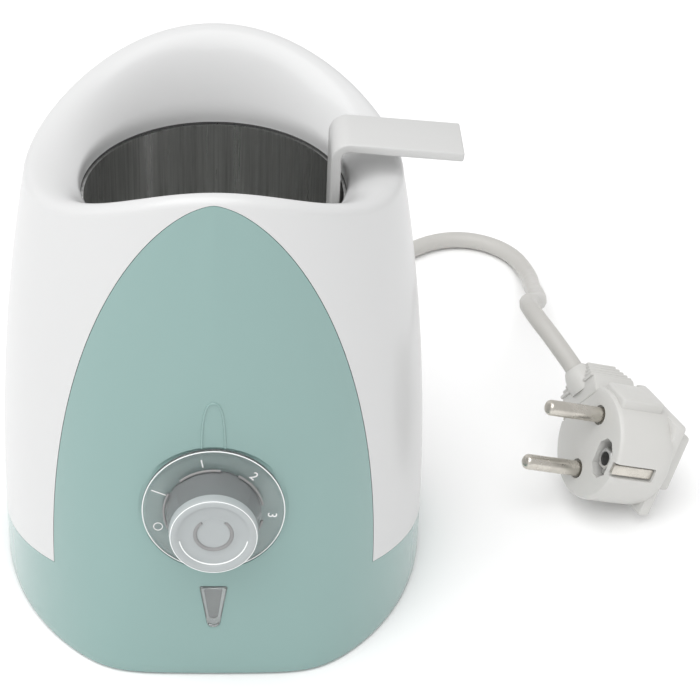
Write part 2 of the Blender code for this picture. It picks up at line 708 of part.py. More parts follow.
def make_cord():
    back = PLAN_CENTRE_Y + BACK_DEPTH
    start = back + BUSH_REACH
    bush = [
        (0.0040, start - 0.001),
        (0.0054, back + 0.001),
        (0.0070, back + 0.001),
        (0.0070, back + 0.0003),
        (0.0054, back + 0.0003),
        (0.0054, back - 0.0026),
        (0.0070, back - 0.0026),
        (0.0070, back - 0.0045),
        (0.0033, back - 0.0045),
        (0.0033, start - 0.0003),
    ]
    gland = turned("cord_bush", grey_rubber, bush, 24, closed=True)
    gland.rotation_euler = (-math.pi / 2, 0, 0)
    gland.location = (0, 0, EXIT_Z)
    tail = [(0, 0.0500, EXIT_Z), (0, 0.0540, EXIT_Z), (0, start - 0.0006, EXIT_Z)]
    tube("cord_tail", cord_grey, tail, CORD_RADIUS, 3)
    clamp = box("cord_clamp", white, (0.020, 0.0045, 0.0040), (0, 0.0522, 0.0214), bevel=0.0005)
    cut(clamp, cylinder("clamp_groove", white, 0.0033, 0.045, 0.060, (0, EXIT_Z + 0.0002), 20, "Y"))

    coil = coil_points(16)
    join_point = coil[0]
    lead_in = [
        (0, start, EXIT_Z),
        (0.0006, start + 0.008, 0.0172),
        (0.0035, start + 0.018, 0.0205),
        (0.0075, start + 0.027, 0.0240),
        (0.0094, start + 0.0335, 0.0260),
    ]
    tube("cord_lead_in", cord_grey, smooth_route(lead_in, 0.012), CORD_RADIUS, 3)
    outer = COIL_RADIUS + CORD_RADIUS + 0.0003
    inner = COIL_RADIUS - CORD_RADIUS - 0.0003
    top = join_point.z + CORD_RADIUS + 0.0002
    ring = [(outer, top), (outer, COIL_FOOT), (inner, COIL_FOOT), (inner, top)]
    turned("cord_coil", cord_grey, ring, 40, closed=True, centre=(*COIL_CENTRE, 0))
    width = outer - inner + 0.0006
    tie = box("cord_tie", wire, (width + 0.0014, 0.006, top + 0.0009), (0, 0, (top + 0.0009) / 2))
    cut(tie, box("tie_hole", wire, (width, 0.02, top - 0.0004), (0, 0, 0.0007 + (top - 0.0004) / 2)))
    for piece in (tie, bpy.data.objects["tie_hole"]):
        piece.location.x = COIL_CENTRE[0] - COIL_RADIUS
        piece.location.y = COIL_CENTRE[1]
    tube("cord_run", cord_grey, smooth_route(RUN_ROUTE, 0.012), CORD_RADIUS, 3)


def plug_frame():
    pins = Vector(PIN_DIRECTION).normalized()
    side = Vector(PIN_SPREAD).cross(pins).normalized()
    spread = pins.cross(side)
    empty = bpy.data.objects.new("plug_frame", None)
    parts.objects.link(empty)
    rotation = Matrix((pins, side, spread)).transposed()
    empty.matrix_world = Matrix.Translation(PLUG_FACE) @ rotation.to_4x4()
    return empty


def make_plug():
    frame = plug_frame()
    body = cylinder("plug_body", cord_white, PLUG_RADIUS, -PLUG_LENGTH, 0, (0, 0), 40, "X", frame)
    bevel = body.modifiers.new("Bevel", "BEVEL")
    bevel.width = 0.0012
    bevel.segments = 2
    bevel.limit_method = "ANGLE"
    hole = cylinder("socket_hole", cord_white, 0.0040, -0.012, 0.004, (EARTH_OFFSET, 0), 20, "X", frame)
    cut(body, hole)
    socket = cylinder("plug_earth_socket", steel, 0.0036, -0.0115, -0.0010, (EARTH_OFFSET, 0), 20, "X", frame)
    cut(socket, cylinder("socket_bore", steel, 0.0024, -0.0100, 0.004, (EARTH_OFFSET, 0), 16, "X", frame))
    for number, side in ((1, 1), (2, -1)):
        place = (0, side * PIN_OFFSET)
        hole_radius = PIN_RADIUS + 0.0003
        hole = cylinder(f"pin_hole_{number}", cord_white, hole_radius, -0.008, 0.004, place, 20, "X", frame)
        cut(body, hole)
        pin = cylinder(f"plug_pin_{number}", nickel, PIN_RADIUS, -0.0075, PIN_LENGTH, place, 20, "X", frame)
        rounding = pin.modifiers.new("Bevel", "BEVEL")
        rounding.width = 0.0014
        rounding.segments = 3
        rounding.limit_method = "ANGLE"
        edge = side * PLUG_RADIUS
        groove = box(f"clip_groove_{number}", cord_white, (0.0156, 0.0040, 0.0042), (-0.0072, edge, 0), frame)
        cut(body, groove)
        centre = side * (PLUG_RADIUS - 0.0012)
        box(f"plug_earth_clip_{number}", nickel, (0.0140, 0.0010, 0.0034), (-0.0076, centre, 0), frame)
    grip_centre = (-PLUG_LENGTH - 0.0038, 0, 0.002)
    box("plug_grip", cord_white, (0.0070, 0.022, 0.020), grip_centre, frame, bevel=0.0015)

    boot = bpy.data.objects.new("boot_frame", None)
    parts.objects.link(boot)
    boot.parent = frame
    boot.rotation_euler = (BOOT_TURN, 0, 0)
    boot.location = (-0.0060, 0, 0)
    bottom = PLUG_RADIUS + 0.0002
    first = box("plug_boot", cord_white, (0.0150, 0.0180, 0.0036), (-0.0010, 0, bottom + 0.0018), boot)
    for number in range(1, 3):
        size = (0.0150 - 0.0014 * number, 0.0180 - 0.0026 * number, 0.0030)
        centre = (0, 0, bottom + 0.0010 + 0.0025 * number)
        join(first, box(f"boot_rib_{number}", cord_white, size, centre, boot))
    neck = cylinder("boot_neck", cord_white, 0.0046, 0, 0.0055, segments=20, parent=boot, tip=0.0034)
    neck.location = (0.0050, 0, bottom + 0.0045)
    neck.rotation_euler = (0, NECK_LEAN, 0)
    join(first, neck)


clear_scene()
parts = new_collection("bottle_warmer")
cutters = new_collection("cutters")
white = material("white_plastic", WHITE, 0.22)
green = material("green_plastic", GREEN, 0.2)
grey_plastic = material("grey_plastic", (0.62, 0.63, 0.64), 0.45)
clear_plastic = material("clear_plastic", (0.9, 0.92, 0.92), 0.15, transmission=0.8)
rubber = material("rubber", (0.16, 0.16, 0.16), 0.7)
grey_rubber = material("grey_rubber", GREY, 0.55)
cord_grey = material("cord_grey", (0.62, 0.61, 0.6), 0.4)
cord_white = material("plug_plastic", (0.74, 0.74, 0.73), 0.35)
wire = material("wire_insulation", (0.5, 0.47, 0.45), 0.5)
steel = material("steel", STEEL, 0.32, 1.0)
aluminium = material("aluminium", (0.77, 0.77, 0.78), 0.35, 1.0)
nickel = material("nickel", (0.72, 0.68, 0.62), 0.18, 1.0)
element_metal = material("element_metal", (0.36, 0.35, 0.33), 0.4, 1.0)
glass = material("glass", (0.95, 0.6, 0.4), 0.05, transmission=1.0)

dial_frame = panel_frame("knob_axis", KNOB_Z)
lamp_frame = panel_frame("lamp_axis", LENS_Z)
make_outer_shell()
make_front_housing(dial_frame, lamp_frame)
make_base()
make_well()
make_heater()
make_controls(dial_frame, lamp_frame)
make_wiring()
make_lifter()
make_cord()
make_plug()
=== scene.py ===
# %% [markdown]
# # A bottle warmer
# A moulded plastic housing stands round a metal well that heats a bottle or a jar. The front is one green
# panel with a clear thermostat knob and a lamp, a white lifter stands in the well, and a mains lead lies
# behind. Everything is in metres, +Z is up, the origin is where the well's axis meets the table, and the
# panel faces -Y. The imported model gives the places, and this script gives the looks.

# %% Clear the scene and load the fixed model
import json
import math

import bmesh
import bpy
from mathutils import Matrix, Vector

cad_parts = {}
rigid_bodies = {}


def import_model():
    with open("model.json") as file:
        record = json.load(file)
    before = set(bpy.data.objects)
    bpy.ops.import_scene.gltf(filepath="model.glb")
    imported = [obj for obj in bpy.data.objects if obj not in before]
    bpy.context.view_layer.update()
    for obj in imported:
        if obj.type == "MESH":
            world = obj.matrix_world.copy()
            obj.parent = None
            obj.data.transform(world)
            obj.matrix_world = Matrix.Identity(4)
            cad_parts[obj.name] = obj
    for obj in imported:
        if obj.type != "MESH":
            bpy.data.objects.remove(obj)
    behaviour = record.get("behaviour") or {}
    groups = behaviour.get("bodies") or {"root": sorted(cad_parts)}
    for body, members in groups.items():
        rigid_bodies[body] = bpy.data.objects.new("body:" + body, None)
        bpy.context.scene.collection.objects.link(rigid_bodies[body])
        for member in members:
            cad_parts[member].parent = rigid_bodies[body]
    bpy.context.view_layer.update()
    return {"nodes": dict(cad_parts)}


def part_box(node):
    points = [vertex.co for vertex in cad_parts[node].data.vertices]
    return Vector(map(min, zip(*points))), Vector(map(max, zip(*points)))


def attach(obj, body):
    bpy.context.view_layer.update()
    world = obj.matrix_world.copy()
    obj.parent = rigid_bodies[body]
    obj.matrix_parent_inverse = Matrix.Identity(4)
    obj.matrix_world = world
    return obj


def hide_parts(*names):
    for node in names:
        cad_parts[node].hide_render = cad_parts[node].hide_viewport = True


for leftover in list(bpy.data.objects):
    bpy.data.objects.remove(leftover, do_unlink=True)
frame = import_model()
nodes = frame["nodes"]
scene = bpy.context.scene

# %% [markdown]
# ## The camera
# The view is a product view from the front and above, through a long lens that keeps the uprights nearly
# upright. The lens is shifted sideways because the lead and its plug take the right half of the view.

# %% Camera
VIEW_TARGET = Vector((0, 0, 0.0708))
VIEW_DISTANCE = 0.630
VIEW_PITCH = math.radians(36.4)
LENS = 113.1
SIDE_SHIFT = 0.195
camera_data = bpy.data.cameras.new("camera")
camera_data.lens = LENS
camera_data.shift_x = SIDE_SHIFT
camera_data.clip_start = 0.01
camera = bpy.data.objects.new("camera", camera_data)
scene.collection.objects.link(camera)
back_and_up = Vector((0, -math.cos(VIEW_PITCH), math.sin(VIEW_PITCH)))
camera.location = VIEW_TARGET + VIEW_DISTANCE * back_and_up
camera.rotation_euler = (math.pi / 2 - VIEW_PITCH, 0, 0)
scene.camera = camera
print("camera at", tuple(round(value, 3) for value in camera.location))

# %% [markdown]
# ## The route of the mains lead
# A real lead of about a metre leaves the back through a bush. What the front view doesn't show lies in a
# coil behind the housing, held by a tie, and then the lead runs round the right side to its plug. The
# route is one smooth curve through given points, and a loop works out the coil's turns.

# %% Lead route
CORD_RADIUS = 0.0029
COIL_CENTRE = (-0.020, 0.142)
COIL_RADIUS = 0.030
COIL_TURNS = 3 + 300 / 360
COIL_PITCH = 0.0061
COIL_FOOT = 0.0010
LEAD_IN = [
    (0.0000, 0.0850, 0.0160),
    (0.0000, 0.0880, 0.0160),
    (0.0006, 0.0950, 0.0172),
    (0.0035, 0.1050, 0.0205),
    (0.0075, 0.1140, 0.0240),
    (0.0094, 0.1205, 0.0260),
]
RUN_ROUTE = [
    (0.0123, 0.1260, 0.0036),
    (0.0270, 0.1332, 0.0031),
    (0.0420, 0.1379, 0.0030),
    (0.0566, 0.1436, 0.0030),
    (0.0697, 0.1517, 0.0030),
    (0.0782, 0.1571, 0.0030),
    (0.0864, 0.1594, 0.0030),
    (0.0946, 0.1585, 0.0030),
    (0.1018, 0.1547, 0.0030),
    (0.1072, 0.1486, 0.0031),
    (0.1101, 0.1407, 0.0037),
    (0.1109, 0.1303, 0.0064),
    (0.1095, 0.1149, 0.0132),
    (0.1081, 0.0978, 0.0220),
    (0.1061, 0.0819, 0.0302),
    (0.1008, 0.0687, 0.0390),
    (0.1011, 0.0577, 0.0424),
    (0.1050, 0.0480, 0.0413),
    (0.1094, 0.0418, 0.0376),
    (0.1108, 0.0399, 0.0363),
    (0.1119, 0.0385, 0.0351),
]


def coil_points(samples_per_turn):
    """The coil's centreline, from its top turn down to where the lead leaves it."""
    total = round(COIL_TURNS * samples_per_turn)
    points = []
    for step in range(total + 1):
        angle = 2 * math.pi * COIL_TURNS * step / total
        x = COIL_CENTRE[0] + COIL_RADIUS * math.cos(angle)
        y = COIL_CENTRE[1] + COIL_RADIUS * math.sin(angle)
        z = COIL_FOOT + CORD_RADIUS + COIL_PITCH * COIL_TURNS * (1 - step / total)
        points.append((x, y, z))
    return points


def smooth_route(points, spacing):
    """Points about one spacing apart on a smooth curve through the given ones."""
    route = [Vector(point) for point in points]
    ends = [2 * route[0] - route[1]] + route + [2 * route[-1] - route[-2]]
    found = [route[0]]
    for a, b, c, d in zip(ends, ends[1:], ends[2:], ends[3:]):
        steps = max(1, round((c - b).length / spacing))
        for step in range(1, steps + 1):
            t = step / steps
            square = (2 * a - 5 * b + 4 * c - d) * t**2
            cube = (3 * b - a - 3 * c + d) * t**3
            found.append(0.5 * (2 * b + (c - a) * t + square + cube))
    return found


lead_points = smooth_route(LEAD_IN + coil_points(16) + RUN_ROUTE, 0.003)
lead_length = sum((b - a).length for a, b in zip(lead_points, lead_points[1:]))
print("lead:", len(lead_points), "points,", round(lead_length, 3), "m")

# %% [markdown]
# ## Small helpers for modelling
# Each operator acts on everything that is selected, so every step starts by deselecting all. A finished
# piece has its place in its mesh, rides on a body, names its material slot and hides the plain nodes that
# it stands for. Other helpers come later, each where it is first needed.


# %% Selecting and applying
def deselect():
    for other in list(bpy.context.selected_objects):
        other.select_set(False)


def activate(obj):
    deselect()
    obj.select_set(True)
    bpy.context.view_layer.objects.active = obj


def apply_modifiers(obj):
    activate(obj)
    for modifier in list(obj.modifiers):
        bpy.ops.object.modifier_apply(modifier=modifier.name)


def settle(obj, matrix=None):
    """Puts the object's place into its mesh, and then moves the mesh by a matrix."""
    obj.data.transform(obj.matrix_basis)
    obj.matrix_basis = Matrix.Identity(4)
    if matrix:
        obj.data.transform(matrix)
    return obj


# %% [markdown]
# Moulded edges are never knife-sharp, so nearly every piece gets a narrow bevel, and its shading is smooth
# except over edges sharper than an angle. Closed meshes have their faces turned outwards first.


# %% Edges and faces
MERGE_DISTANCE = 0.000005


def bevel(obj, width, segments=2, angle=35):
    modifier = obj.modifiers.new("Bevel", "BEVEL")
    modifier.width = width
    modifier.segments = segments
    modifier.limit_method = "ANGLE"
    modifier.angle_limit = math.radians(angle)
    modifier.harden_normals = False


def smooth(obj, angle=35):
    activate(obj)
    bpy.ops.object.shade_smooth_by_angle(angle=math.radians(angle))


def face_out(obj):
    """Merges doubles and turns all faces of a closed mesh outwards."""
    bm = bmesh.new()
    bm.from_mesh(obj.data)
    bmesh.ops.remove_doubles(bm, verts=bm.verts, dist=MERGE_DISTANCE)
    bmesh.ops.recalc_face_normals(bm, faces=bm.faces)
    bm.to_mesh(obj.data)
    bm.free()


# %% [markdown]
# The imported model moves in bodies: the housing, the knob and the lifter. A finished piece says which body it
# rides on, which material slot it has, and which plain nodes it takes the place of.


# %% Handing a piece over
def finish_piece(obj, body, material, replaced=()):
    """Gives a piece its finish, its body and slot, and the plain nodes that it stands for."""
    obj.data.materials.clear()
    obj.data.materials.append(material)
    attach(obj, body)
    if replaced:
        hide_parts(*replaced)


# %% [markdown]
# ## Finishes
# Injection-moulded plastic is never perfectly even: it has a very fine texture from its mould, long soft
# waves where it cooled, and a few rubbed spots that are duller. One node group makes these for every
# plastic and rubber here. Drawn metal has fine lines in one direction, so it has a group of its own.


# %% Node group for moulded surfaces
def new_group(name, inputs, outputs):
    """A shader node group with named float or colour inputs and outputs."""
    group = bpy.data.node_groups.new(name, "ShaderNodeTree")
    kinds = {"colour": "NodeSocketColor", "value": "NodeSocketFloat", "normal": "NodeSocketVector"}
    for socket, kind in outputs:
        group.interface.new_socket(socket, in_out="OUTPUT", socket_type=kinds[kind])
    for socket, kind, default in inputs:
        made = group.interface.new_socket(socket, in_out="INPUT", socket_type=kinds[kind])
        made.default_value = default
    entry = group.nodes.new("NodeGroupInput")
    leave = group.nodes.new("NodeGroupOutput")
    return group, entry, leave


def add_node(tree, kind, **settings):
    node = tree.nodes.new(kind)
    for name, value in settings.items():
        if name in node.inputs:
            node.inputs[name].default_value = value
        else:
            setattr(node, name, value)
    return node


def sum_of(tree, first, second, factor):
    """first + second * factor, as one Multiply Add node."""
    node = add_node(tree, "ShaderNodeMath", operation="MULTIPLY_ADD")
    tree.links.new(second, node.inputs[0])
    if isinstance(factor, float):
        node.inputs[1].default_value = factor
    else:
        tree.links.new(factor, node.inputs[1])
    if isinstance(first, float):
        node.inputs[2].default_value = first
    else:
        tree.links.new(first, node.inputs[2])
    return node.outputs[0]


moulded, entry, leave = new_group(
    "moulded_surface",
    [
        ("Colour", "colour", (0.8, 0.8, 0.8, 1)),
        ("Tint", "colour", (0.7, 0.7, 0.7, 1)),
        ("Tint Share", "value", 0.3),
        ("Roughness", "value", 0.3),
        ("Rubbing", "value", 0.12),
        ("Texture Size", "value", 2600.0),
        ("Texture Depth", "value", 0.05),
        ("Wave Depth", "value", 0.05),
    ],
    [("Colour", "colour"), ("Roughness", "value"), ("Normal", "normal")],
)
links = moulded.links
place = add_node(moulded, "ShaderNodeTexCoord").outputs["Object"]
clouds = add_node(moulded, "ShaderNodeTexNoise", Scale=26.0, Detail=3.0, Roughness=0.55)
specks = add_node(moulded, "ShaderNodeTexNoise", Scale=420.0, Detail=4.0, Roughness=0.6)
grain = add_node(moulded, "ShaderNodeTexNoise", Detail=2.0, Roughness=0.5)
waves = add_node(moulded, "ShaderNodeTexNoise", Scale=70.0, Detail=1.0, Roughness=0.4)
for texture in (clouds, specks, grain, waves):
    links.new(place, texture.inputs["Vector"])
links.new(entry.outputs["Texture Size"], grain.inputs["Scale"])
share = add_node(moulded, "ShaderNodeMath", operation="MULTIPLY")
links.new(clouds.outputs["Fac"], share.inputs[0])
links.new(entry.outputs["Tint Share"], share.inputs[1])
mixed = add_node(moulded, "ShaderNodeMix", data_type="RGBA")
links.new(share.outputs[0], mixed.inputs["Factor"])
links.new(entry.outputs["Colour"], mixed.inputs[6])
links.new(entry.outputs["Tint"], mixed.inputs[7])
links.new(mixed.outputs[2], leave.inputs["Colour"])
rubbed = add_node(moulded, "ShaderNodeMapRange", clamp=True)
rubbed.inputs["From Min"].default_value = 0.42
rubbed.inputs["From Max"].default_value = 0.72
links.new(specks.outputs["Fac"], rubbed.inputs["Value"])
dull = sum_of(moulded, entry.outputs["Roughness"], rubbed.outputs["Result"], entry.outputs["Rubbing"])
links.new(dull, leave.inputs["Roughness"])
wave_bump = add_node(moulded, "ShaderNodeBump", Distance=0.002)
links.new(entry.outputs["Wave Depth"], wave_bump.inputs["Strength"])
links.new(waves.outputs["Fac"], wave_bump.inputs["Height"])
grain_bump = add_node(moulded, "ShaderNodeBump", Distance=0.0002)
links.new(entry.outputs["Texture Depth"], grain_bump.inputs["Strength"])
links.new(grain.outputs["Fac"], grain_bump.inputs["Height"])
links.new(wave_bump.outputs["Normal"], grain_bump.inputs["Normal"])
links.new(grain_bump.outputs["Normal"], leave.inputs["Normal"])
print("group", moulded.name, "with", len(moulded.nodes), "nodes")

# %% [markdown]
# The metal group stretches its noise along Z, so that it becomes fine upright lines. The lines darken the
# colour a little, roughen the surface and raise a shallow bump, all from the one texture.

# %% Node group for drawn and brushed metal
brushed, entry, leave = new_group(
    "brushed_metal",
    [
        ("Colour", "colour", (0.7, 0.7, 0.7, 1)),
        ("Shadow", "colour", (0.35, 0.35, 0.35, 1)),
        ("Roughness", "value", 0.3),
        ("Streaks", "value", 0.5),
        ("Across", "value", 900.0),
        ("Along", "value", 16.0),
    ],
    [("Colour", "colour"), ("Roughness", "value"), ("Normal", "normal")],
)
links = brushed.links
place = add_node(brushed, "ShaderNodeTexCoord").outputs["Object"]
stretch = add_node(brushed, "ShaderNodeCombineXYZ")
links.new(entry.outputs["Across"], stretch.inputs["X"])
links.new(entry.outputs["Across"], stretch.inputs["Y"])
links.new(entry.outputs["Along"], stretch.inputs["Z"])
scaled = add_node(brushed, "ShaderNodeVectorMath", operation="MULTIPLY")
links.new(place, scaled.inputs[0])
links.new(stretch.outputs[0], scaled.inputs[1])
lines = add_node(brushed, "ShaderNodeTexNoise", Scale=1.0, Detail=4.0, Roughness=0.65)
links.new(scaled.outputs[0], lines.inputs["Vector"])
stains = add_node(brushed, "ShaderNodeTexNoise", Scale=60.0, Detail=3.0, Roughness=0.6)
links.new(place, stains.inputs["Vector"])
contrast = add_node(brushed, "ShaderNodeMapRange", clamp=True)
contrast.inputs["From Min"].default_value = 0.35
contrast.inputs["From Max"].default_value = 0.68
links.new(lines.outputs["Fac"], contrast.inputs["Value"])
streak = add_node(brushed, "ShaderNodeMath", operation="MULTIPLY")
links.new(contrast.outputs["Result"], streak.inputs[0])
links.new(entry.outputs["Streaks"], streak.inputs[1])
mixed = add_node(brushed, "ShaderNodeMix", data_type="RGBA")
links.new(streak.outputs[0], mixed.inputs["Factor"])
links.new(entry.outputs["Colour"], mixed.inputs[6])
links.new(entry.outputs["Shadow"], mixed.inputs[7])
links.new(mixed.outputs[2], leave.inputs["Colour"])
spread = sum_of(brushed, entry.outputs["Roughness"], streak.outputs[0], 0.22)
spread = sum_of(brushed, spread, stains.outputs["Fac"], 0.08)
links.new(spread, leave.inputs["Roughness"])
scratch = add_node(brushed, "ShaderNodeBump", Strength=0.12, Distance=0.0002)
links.new(lines.outputs["Fac"], scratch.inputs["Height"])
links.new(scratch.outputs["Normal"], leave.inputs["Normal"])
print("group", brushed.name, "with", len(brushed.nodes), "nodes")


# %% [markdown]
# Each finish is a Principled shader with one of the groups in front of it. The group gives what changes
# over the surface, and what is the same everywhere is set on the shader itself.


# %% Finishes
def finish(name, group, settings, **shader_settings):
    """A material whose colour, roughness and normal come from a group."""
    made = bpy.data.materials.new(name)
    made.use_nodes = True
    tree = made.node_tree
    shader = tree.nodes["Principled BSDF"]
    surface = tree.nodes.new("ShaderNodeGroup")
    surface.node_tree = group
    for socket, value in settings.items():
        surface.inputs[socket].default_value = (*value, 1) if isinstance(value, tuple) else value
    tree.links.new(surface.outputs["Colour"], shader.inputs["Base Color"])
    tree.links.new(surface.outputs["Roughness"], shader.inputs["Roughness"])
    tree.links.new(surface.outputs["Normal"], shader.inputs["Normal"])
    for socket, value in shader_settings.items():
        shader.inputs[socket.replace("_", " ")].default_value = value
    return made


def plastic(name, colour, tint, share=0.35, roughness=0.3, rubbing=0.1, depth=0.05, wave=0.04, **more):
    settings = {
        "Colour": colour,
        "Tint": tint,
        "Tint Share": share,
        "Roughness": roughness,
        "Rubbing": rubbing,
        "Texture Depth": depth,
        "Wave Depth": wave,
    }
    return finish(name, moulded, settings, **more)


def metal(name, colour, shadow, roughness=0.3, streaks=0.5, across=900.0, along=16.0):
    settings = {
        "Colour": colour,
        "Shadow": shadow,
        "Roughness": roughness,
        "Streaks": streaks,
        "Across": across,
        "Along": along,
    }
    return finish(name, brushed, settings, Metallic=1.0)


white_shell_finish = plastic(
    "glossy_white_shell", (0.615, 0.617, 0.617), (0.59, 0.59, 0.595),
    share=0.1, roughness=0.3, rubbing=0.0, depth=0.004, wave=0.002, Coat_Weight=0.15,
)
green_finish = plastic(
    "sage_green_front", (0.232, 0.36, 0.341), (0.214, 0.342, 0.323),
    share=0.3, roughness=0.22, rubbing=0.015, depth=0.02, wave=0.01, Coat_Weight=0.4,
)
lifter_finish = plastic(
    "satin_white_lifter", (0.55, 0.55, 0.545), (0.51, 0.51, 0.50),
    share=0.3, roughness=0.34, rubbing=0.04, depth=0.03, wave=0.02,
)
grey_finish = plastic(
    "grey_base_plastic", (0.50, 0.51, 0.52), (0.42, 0.43, 0.44),
    share=0.4, roughness=0.5, rubbing=0.1, depth=0.15,
)
hub_finish = plastic(
    "grey_hub_plastic", (0.30, 0.30, 0.30), (0.20, 0.20, 0.20),
    share=0.5, roughness=0.4, rubbing=0.1,
)
sheath_finish = plastic(
    "grey_lead_sheath", (0.53, 0.52, 0.495), (0.47, 0.46, 0.44),
    share=0.5, roughness=0.38, rubbing=0.14, depth=0.12, wave=0.1,
)
plug_finish = plastic(
    "pale_grey_plug", (0.60, 0.595, 0.575), (0.55, 0.545, 0.525),
    share=0.4, roughness=0.33, rubbing=0.12, depth=0.1,
)
bush_finish = plastic(
    "grey_rubber_bush", (0.45, 0.445, 0.43), (0.36, 0.355, 0.34),
    share=0.5, roughness=0.6, rubbing=0.15, depth=0.2,
)
rubber_finish = plastic(
    "dark_rubber_foot", (0.045, 0.045, 0.047), (0.07, 0.07, 0.07),
    share=0.6, roughness=0.7, rubbing=0.15, depth=0.3,
)
wire_finish = plastic(
    "wire_insulation", (0.42, 0.33, 0.24), (0.32, 0.24, 0.17),
    share=0.5, roughness=0.45, rubbing=0.1,
)
# Near-black, for the painted shade in the plug's pocket and at the bottom of the socket's hole.
painted_socket_shade = plastic(
    "painted_socket_shade_plastic", (0.02, 0.02, 0.02), (0.035, 0.035, 0.035),
    share=0.5, roughness=0.5, rubbing=0.1,
)
mark_finish = plastic(
    "white_dial_print", (0.86, 0.87, 0.87), (0.78, 0.8, 0.8),
    share=0.3, roughness=0.5, rubbing=0.1,
)
print("plastics made:", len(bpy.data.materials))

# %% [markdown]
# The metals share the drawn lines but not their scale: long lines in the steel well, and short crossed
# ones in cast and plated metal, where the two scales are the same.

# %% Metal finishes
steel_finish = metal(
    "brushed_steel_well", (0.78, 0.785, 0.775), (0.34, 0.345, 0.335),
    roughness=0.22, streaks=0.9, across=420.0, along=9.0,
)
bolt_finish = metal(
    "zinc_plated_steel", (0.62, 0.62, 0.61), (0.42, 0.42, 0.41),
    roughness=0.32, streaks=0.5, across=300.0, along=300.0,
)
aluminium_finish = metal(
    "cast_aluminium", (0.66, 0.665, 0.67), (0.5, 0.5, 0.51),
    roughness=0.42, streaks=0.5, across=240.0, along=240.0,
)
nickel_finish = metal(
    "nickel_plate", (0.64, 0.61, 0.555), (0.42, 0.40, 0.36),
    roughness=0.2, streaks=0.45, across=180.0, along=180.0,
)
element_finish = metal(
    "heater_sheath", (0.34, 0.33, 0.31), (0.20, 0.19, 0.18),
    roughness=0.45, streaks=0.6, across=200.0, along=200.0,
)
print("with the metals:", len(bpy.data.materials))

# %% [markdown]
# The dial and the lamp are clear. The disc lets nearly all light through, and the grip is frosted, so it
# scatters what it lets through and looks a pale grey.

# %% Clear finishes
clear = {"Transmission_Weight": 0.92, "IOR": 1.49}
frosted = {"Transmission_Weight": 0.6, "IOR": 1.49}
clear_finish = plastic(
    "clear_dial_plastic", (0.90, 0.93, 0.93), (0.84, 0.88, 0.88),
    share=0.3, roughness=0.06, rubbing=0.04, **clear,
)
frosted_finish = plastic(
    "frosted_dial_grip", (0.42, 0.44, 0.445), (0.36, 0.38, 0.385),
    share=0.15, roughness=0.24, rubbing=0.02, depth=0.03, wave=0.01, **frosted,
)
end_finish = plastic(
    "frosted_dial_end", (0.40, 0.425, 0.43), (0.35, 0.375, 0.38),
    share=0.15, roughness=0.2, rubbing=0.02, depth=0.03, wave=0.01,
)
# A pale finish for the thin rings that paint the highlight along the knob's rims.
rim_highlight_finish = plastic(
    "painted_rim_highlight", (0.90, 0.92, 0.92), (0.84, 0.87, 0.87),
    share=0.2, roughness=0.1, rubbing=0.02, depth=0.02, wave=0.01,
)
lamp_glass_finish = plastic(
    "lamp_glass", (0.92, 0.62, 0.45), (0.85, 0.5, 0.35),
    share=0.3, roughness=0.05, rubbing=0.02, **clear,
)
print(len(bpy.data.materials), "finishes")

# %% [markdown]
# ## The lead
# The lead is a round vinyl cord, so it is a curve with a round bevel along the route above. The bevel
# keeps its thickness true in every bend. The plug's pieces are listed with it at the end, when they
# are all made.


# %% A tube along points
def tube(name, points, radius, resolution=4, closed=False):
    curve = bpy.data.curves.new(name, "CURVE")
    curve.dimensions = "3D"
    curve.bevel_depth = radius
    curve.bevel_resolution = resolution
    curve.use_fill_caps = not closed
    spline = curve.splines.new("POLY")
    spline.points.add(len(points) - 1)
    for point, place in zip(spline.points, points):
        point.co = (*place, 1)
    spline.use_cyclic_u = closed
    obj = bpy.data.objects.new(name, curve)
    scene.collection.objects.link(obj)
    return obj


# %% Lead
lead = tube("mains_lead", lead_points, CORD_RADIUS, 4)
for spline in lead.data.splines:
    spline.use_smooth = True
finish_piece(lead, "housing", sheath_finish, ["cord_lead_in", "cord_coil", "cord_run"])
print("lead is", round(2000 * CORD_RADIUS, 1), "mm thick")

# %% [markdown]
# The tie that holds the coil is a soft band wrapped once round all the turns. It is bent from a flat
# strip, so it is a rounded loop given thickness and width.


# %% A mesh from points and faces
def mesh_piece(name, vertices, faces):
    mesh = bpy.data.meshes.new(name)
    mesh.from_pydata([tuple(vertex) for vertex in vertices], [], faces)
    obj = bpy.data.objects.new(name, mesh)
    scene.collection.objects.link(obj)
    return obj


# %% Coil tie
tie_low, tie_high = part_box("cord_tie")
tie_middle = (tie_low + tie_high) / 2
TIE_WIDTH = 0.0056
TIE_THICKNESS = 0.0007


def rounded_rectangle(half_width, half_height, radius):
    """Points round a rectangle with round corners, counter-clockwise."""
    steps = 6
    points = []
    for corner, (sign_x, sign_y) in enumerate(((1, 1), (-1, 1), (-1, -1), (1, -1))):
        for step in range(steps + 1):
            angle = math.pi / 2 * (corner + step / steps)
            x = sign_x * (half_width - radius) + radius * math.cos(angle)
            y = sign_y * (half_height - radius) + radius * math.sin(angle)
            points.append((x, y))
    return points


half_width = (tie_high.x - tie_low.x) / 2 - TIE_THICKNESS
half_height = (tie_high.z - tie_low.z) / 2 - TIE_THICKNESS
band = rounded_rectangle(half_width, half_height, 0.0022)
count = len(band)
vertices = []
for side in (-1, 1):
    for x, z in band:
        vertices.append((tie_middle.x + x, tie_middle.y + side * TIE_WIDTH / 2, tie_middle.z + z))
faces = [(i, (i + 1) % count, count + (i + 1) % count, count + i) for i in range(count)]
tie = mesh_piece("coil_tie", vertices, faces)
thick = tie.modifiers.new("Solidify", "SOLIDIFY")
thick.thickness = TIE_THICKNESS
thick.offset = 1
bevel(tie, 0.0002, 2, 60)
apply_modifiers(tie)
face_out(tie)
smooth(tie)
finish_piece(tie, "housing", wire_finish, ["cord_tie"])
print("tie", [round(1000 * side, 1) for side in tie.dimensions])

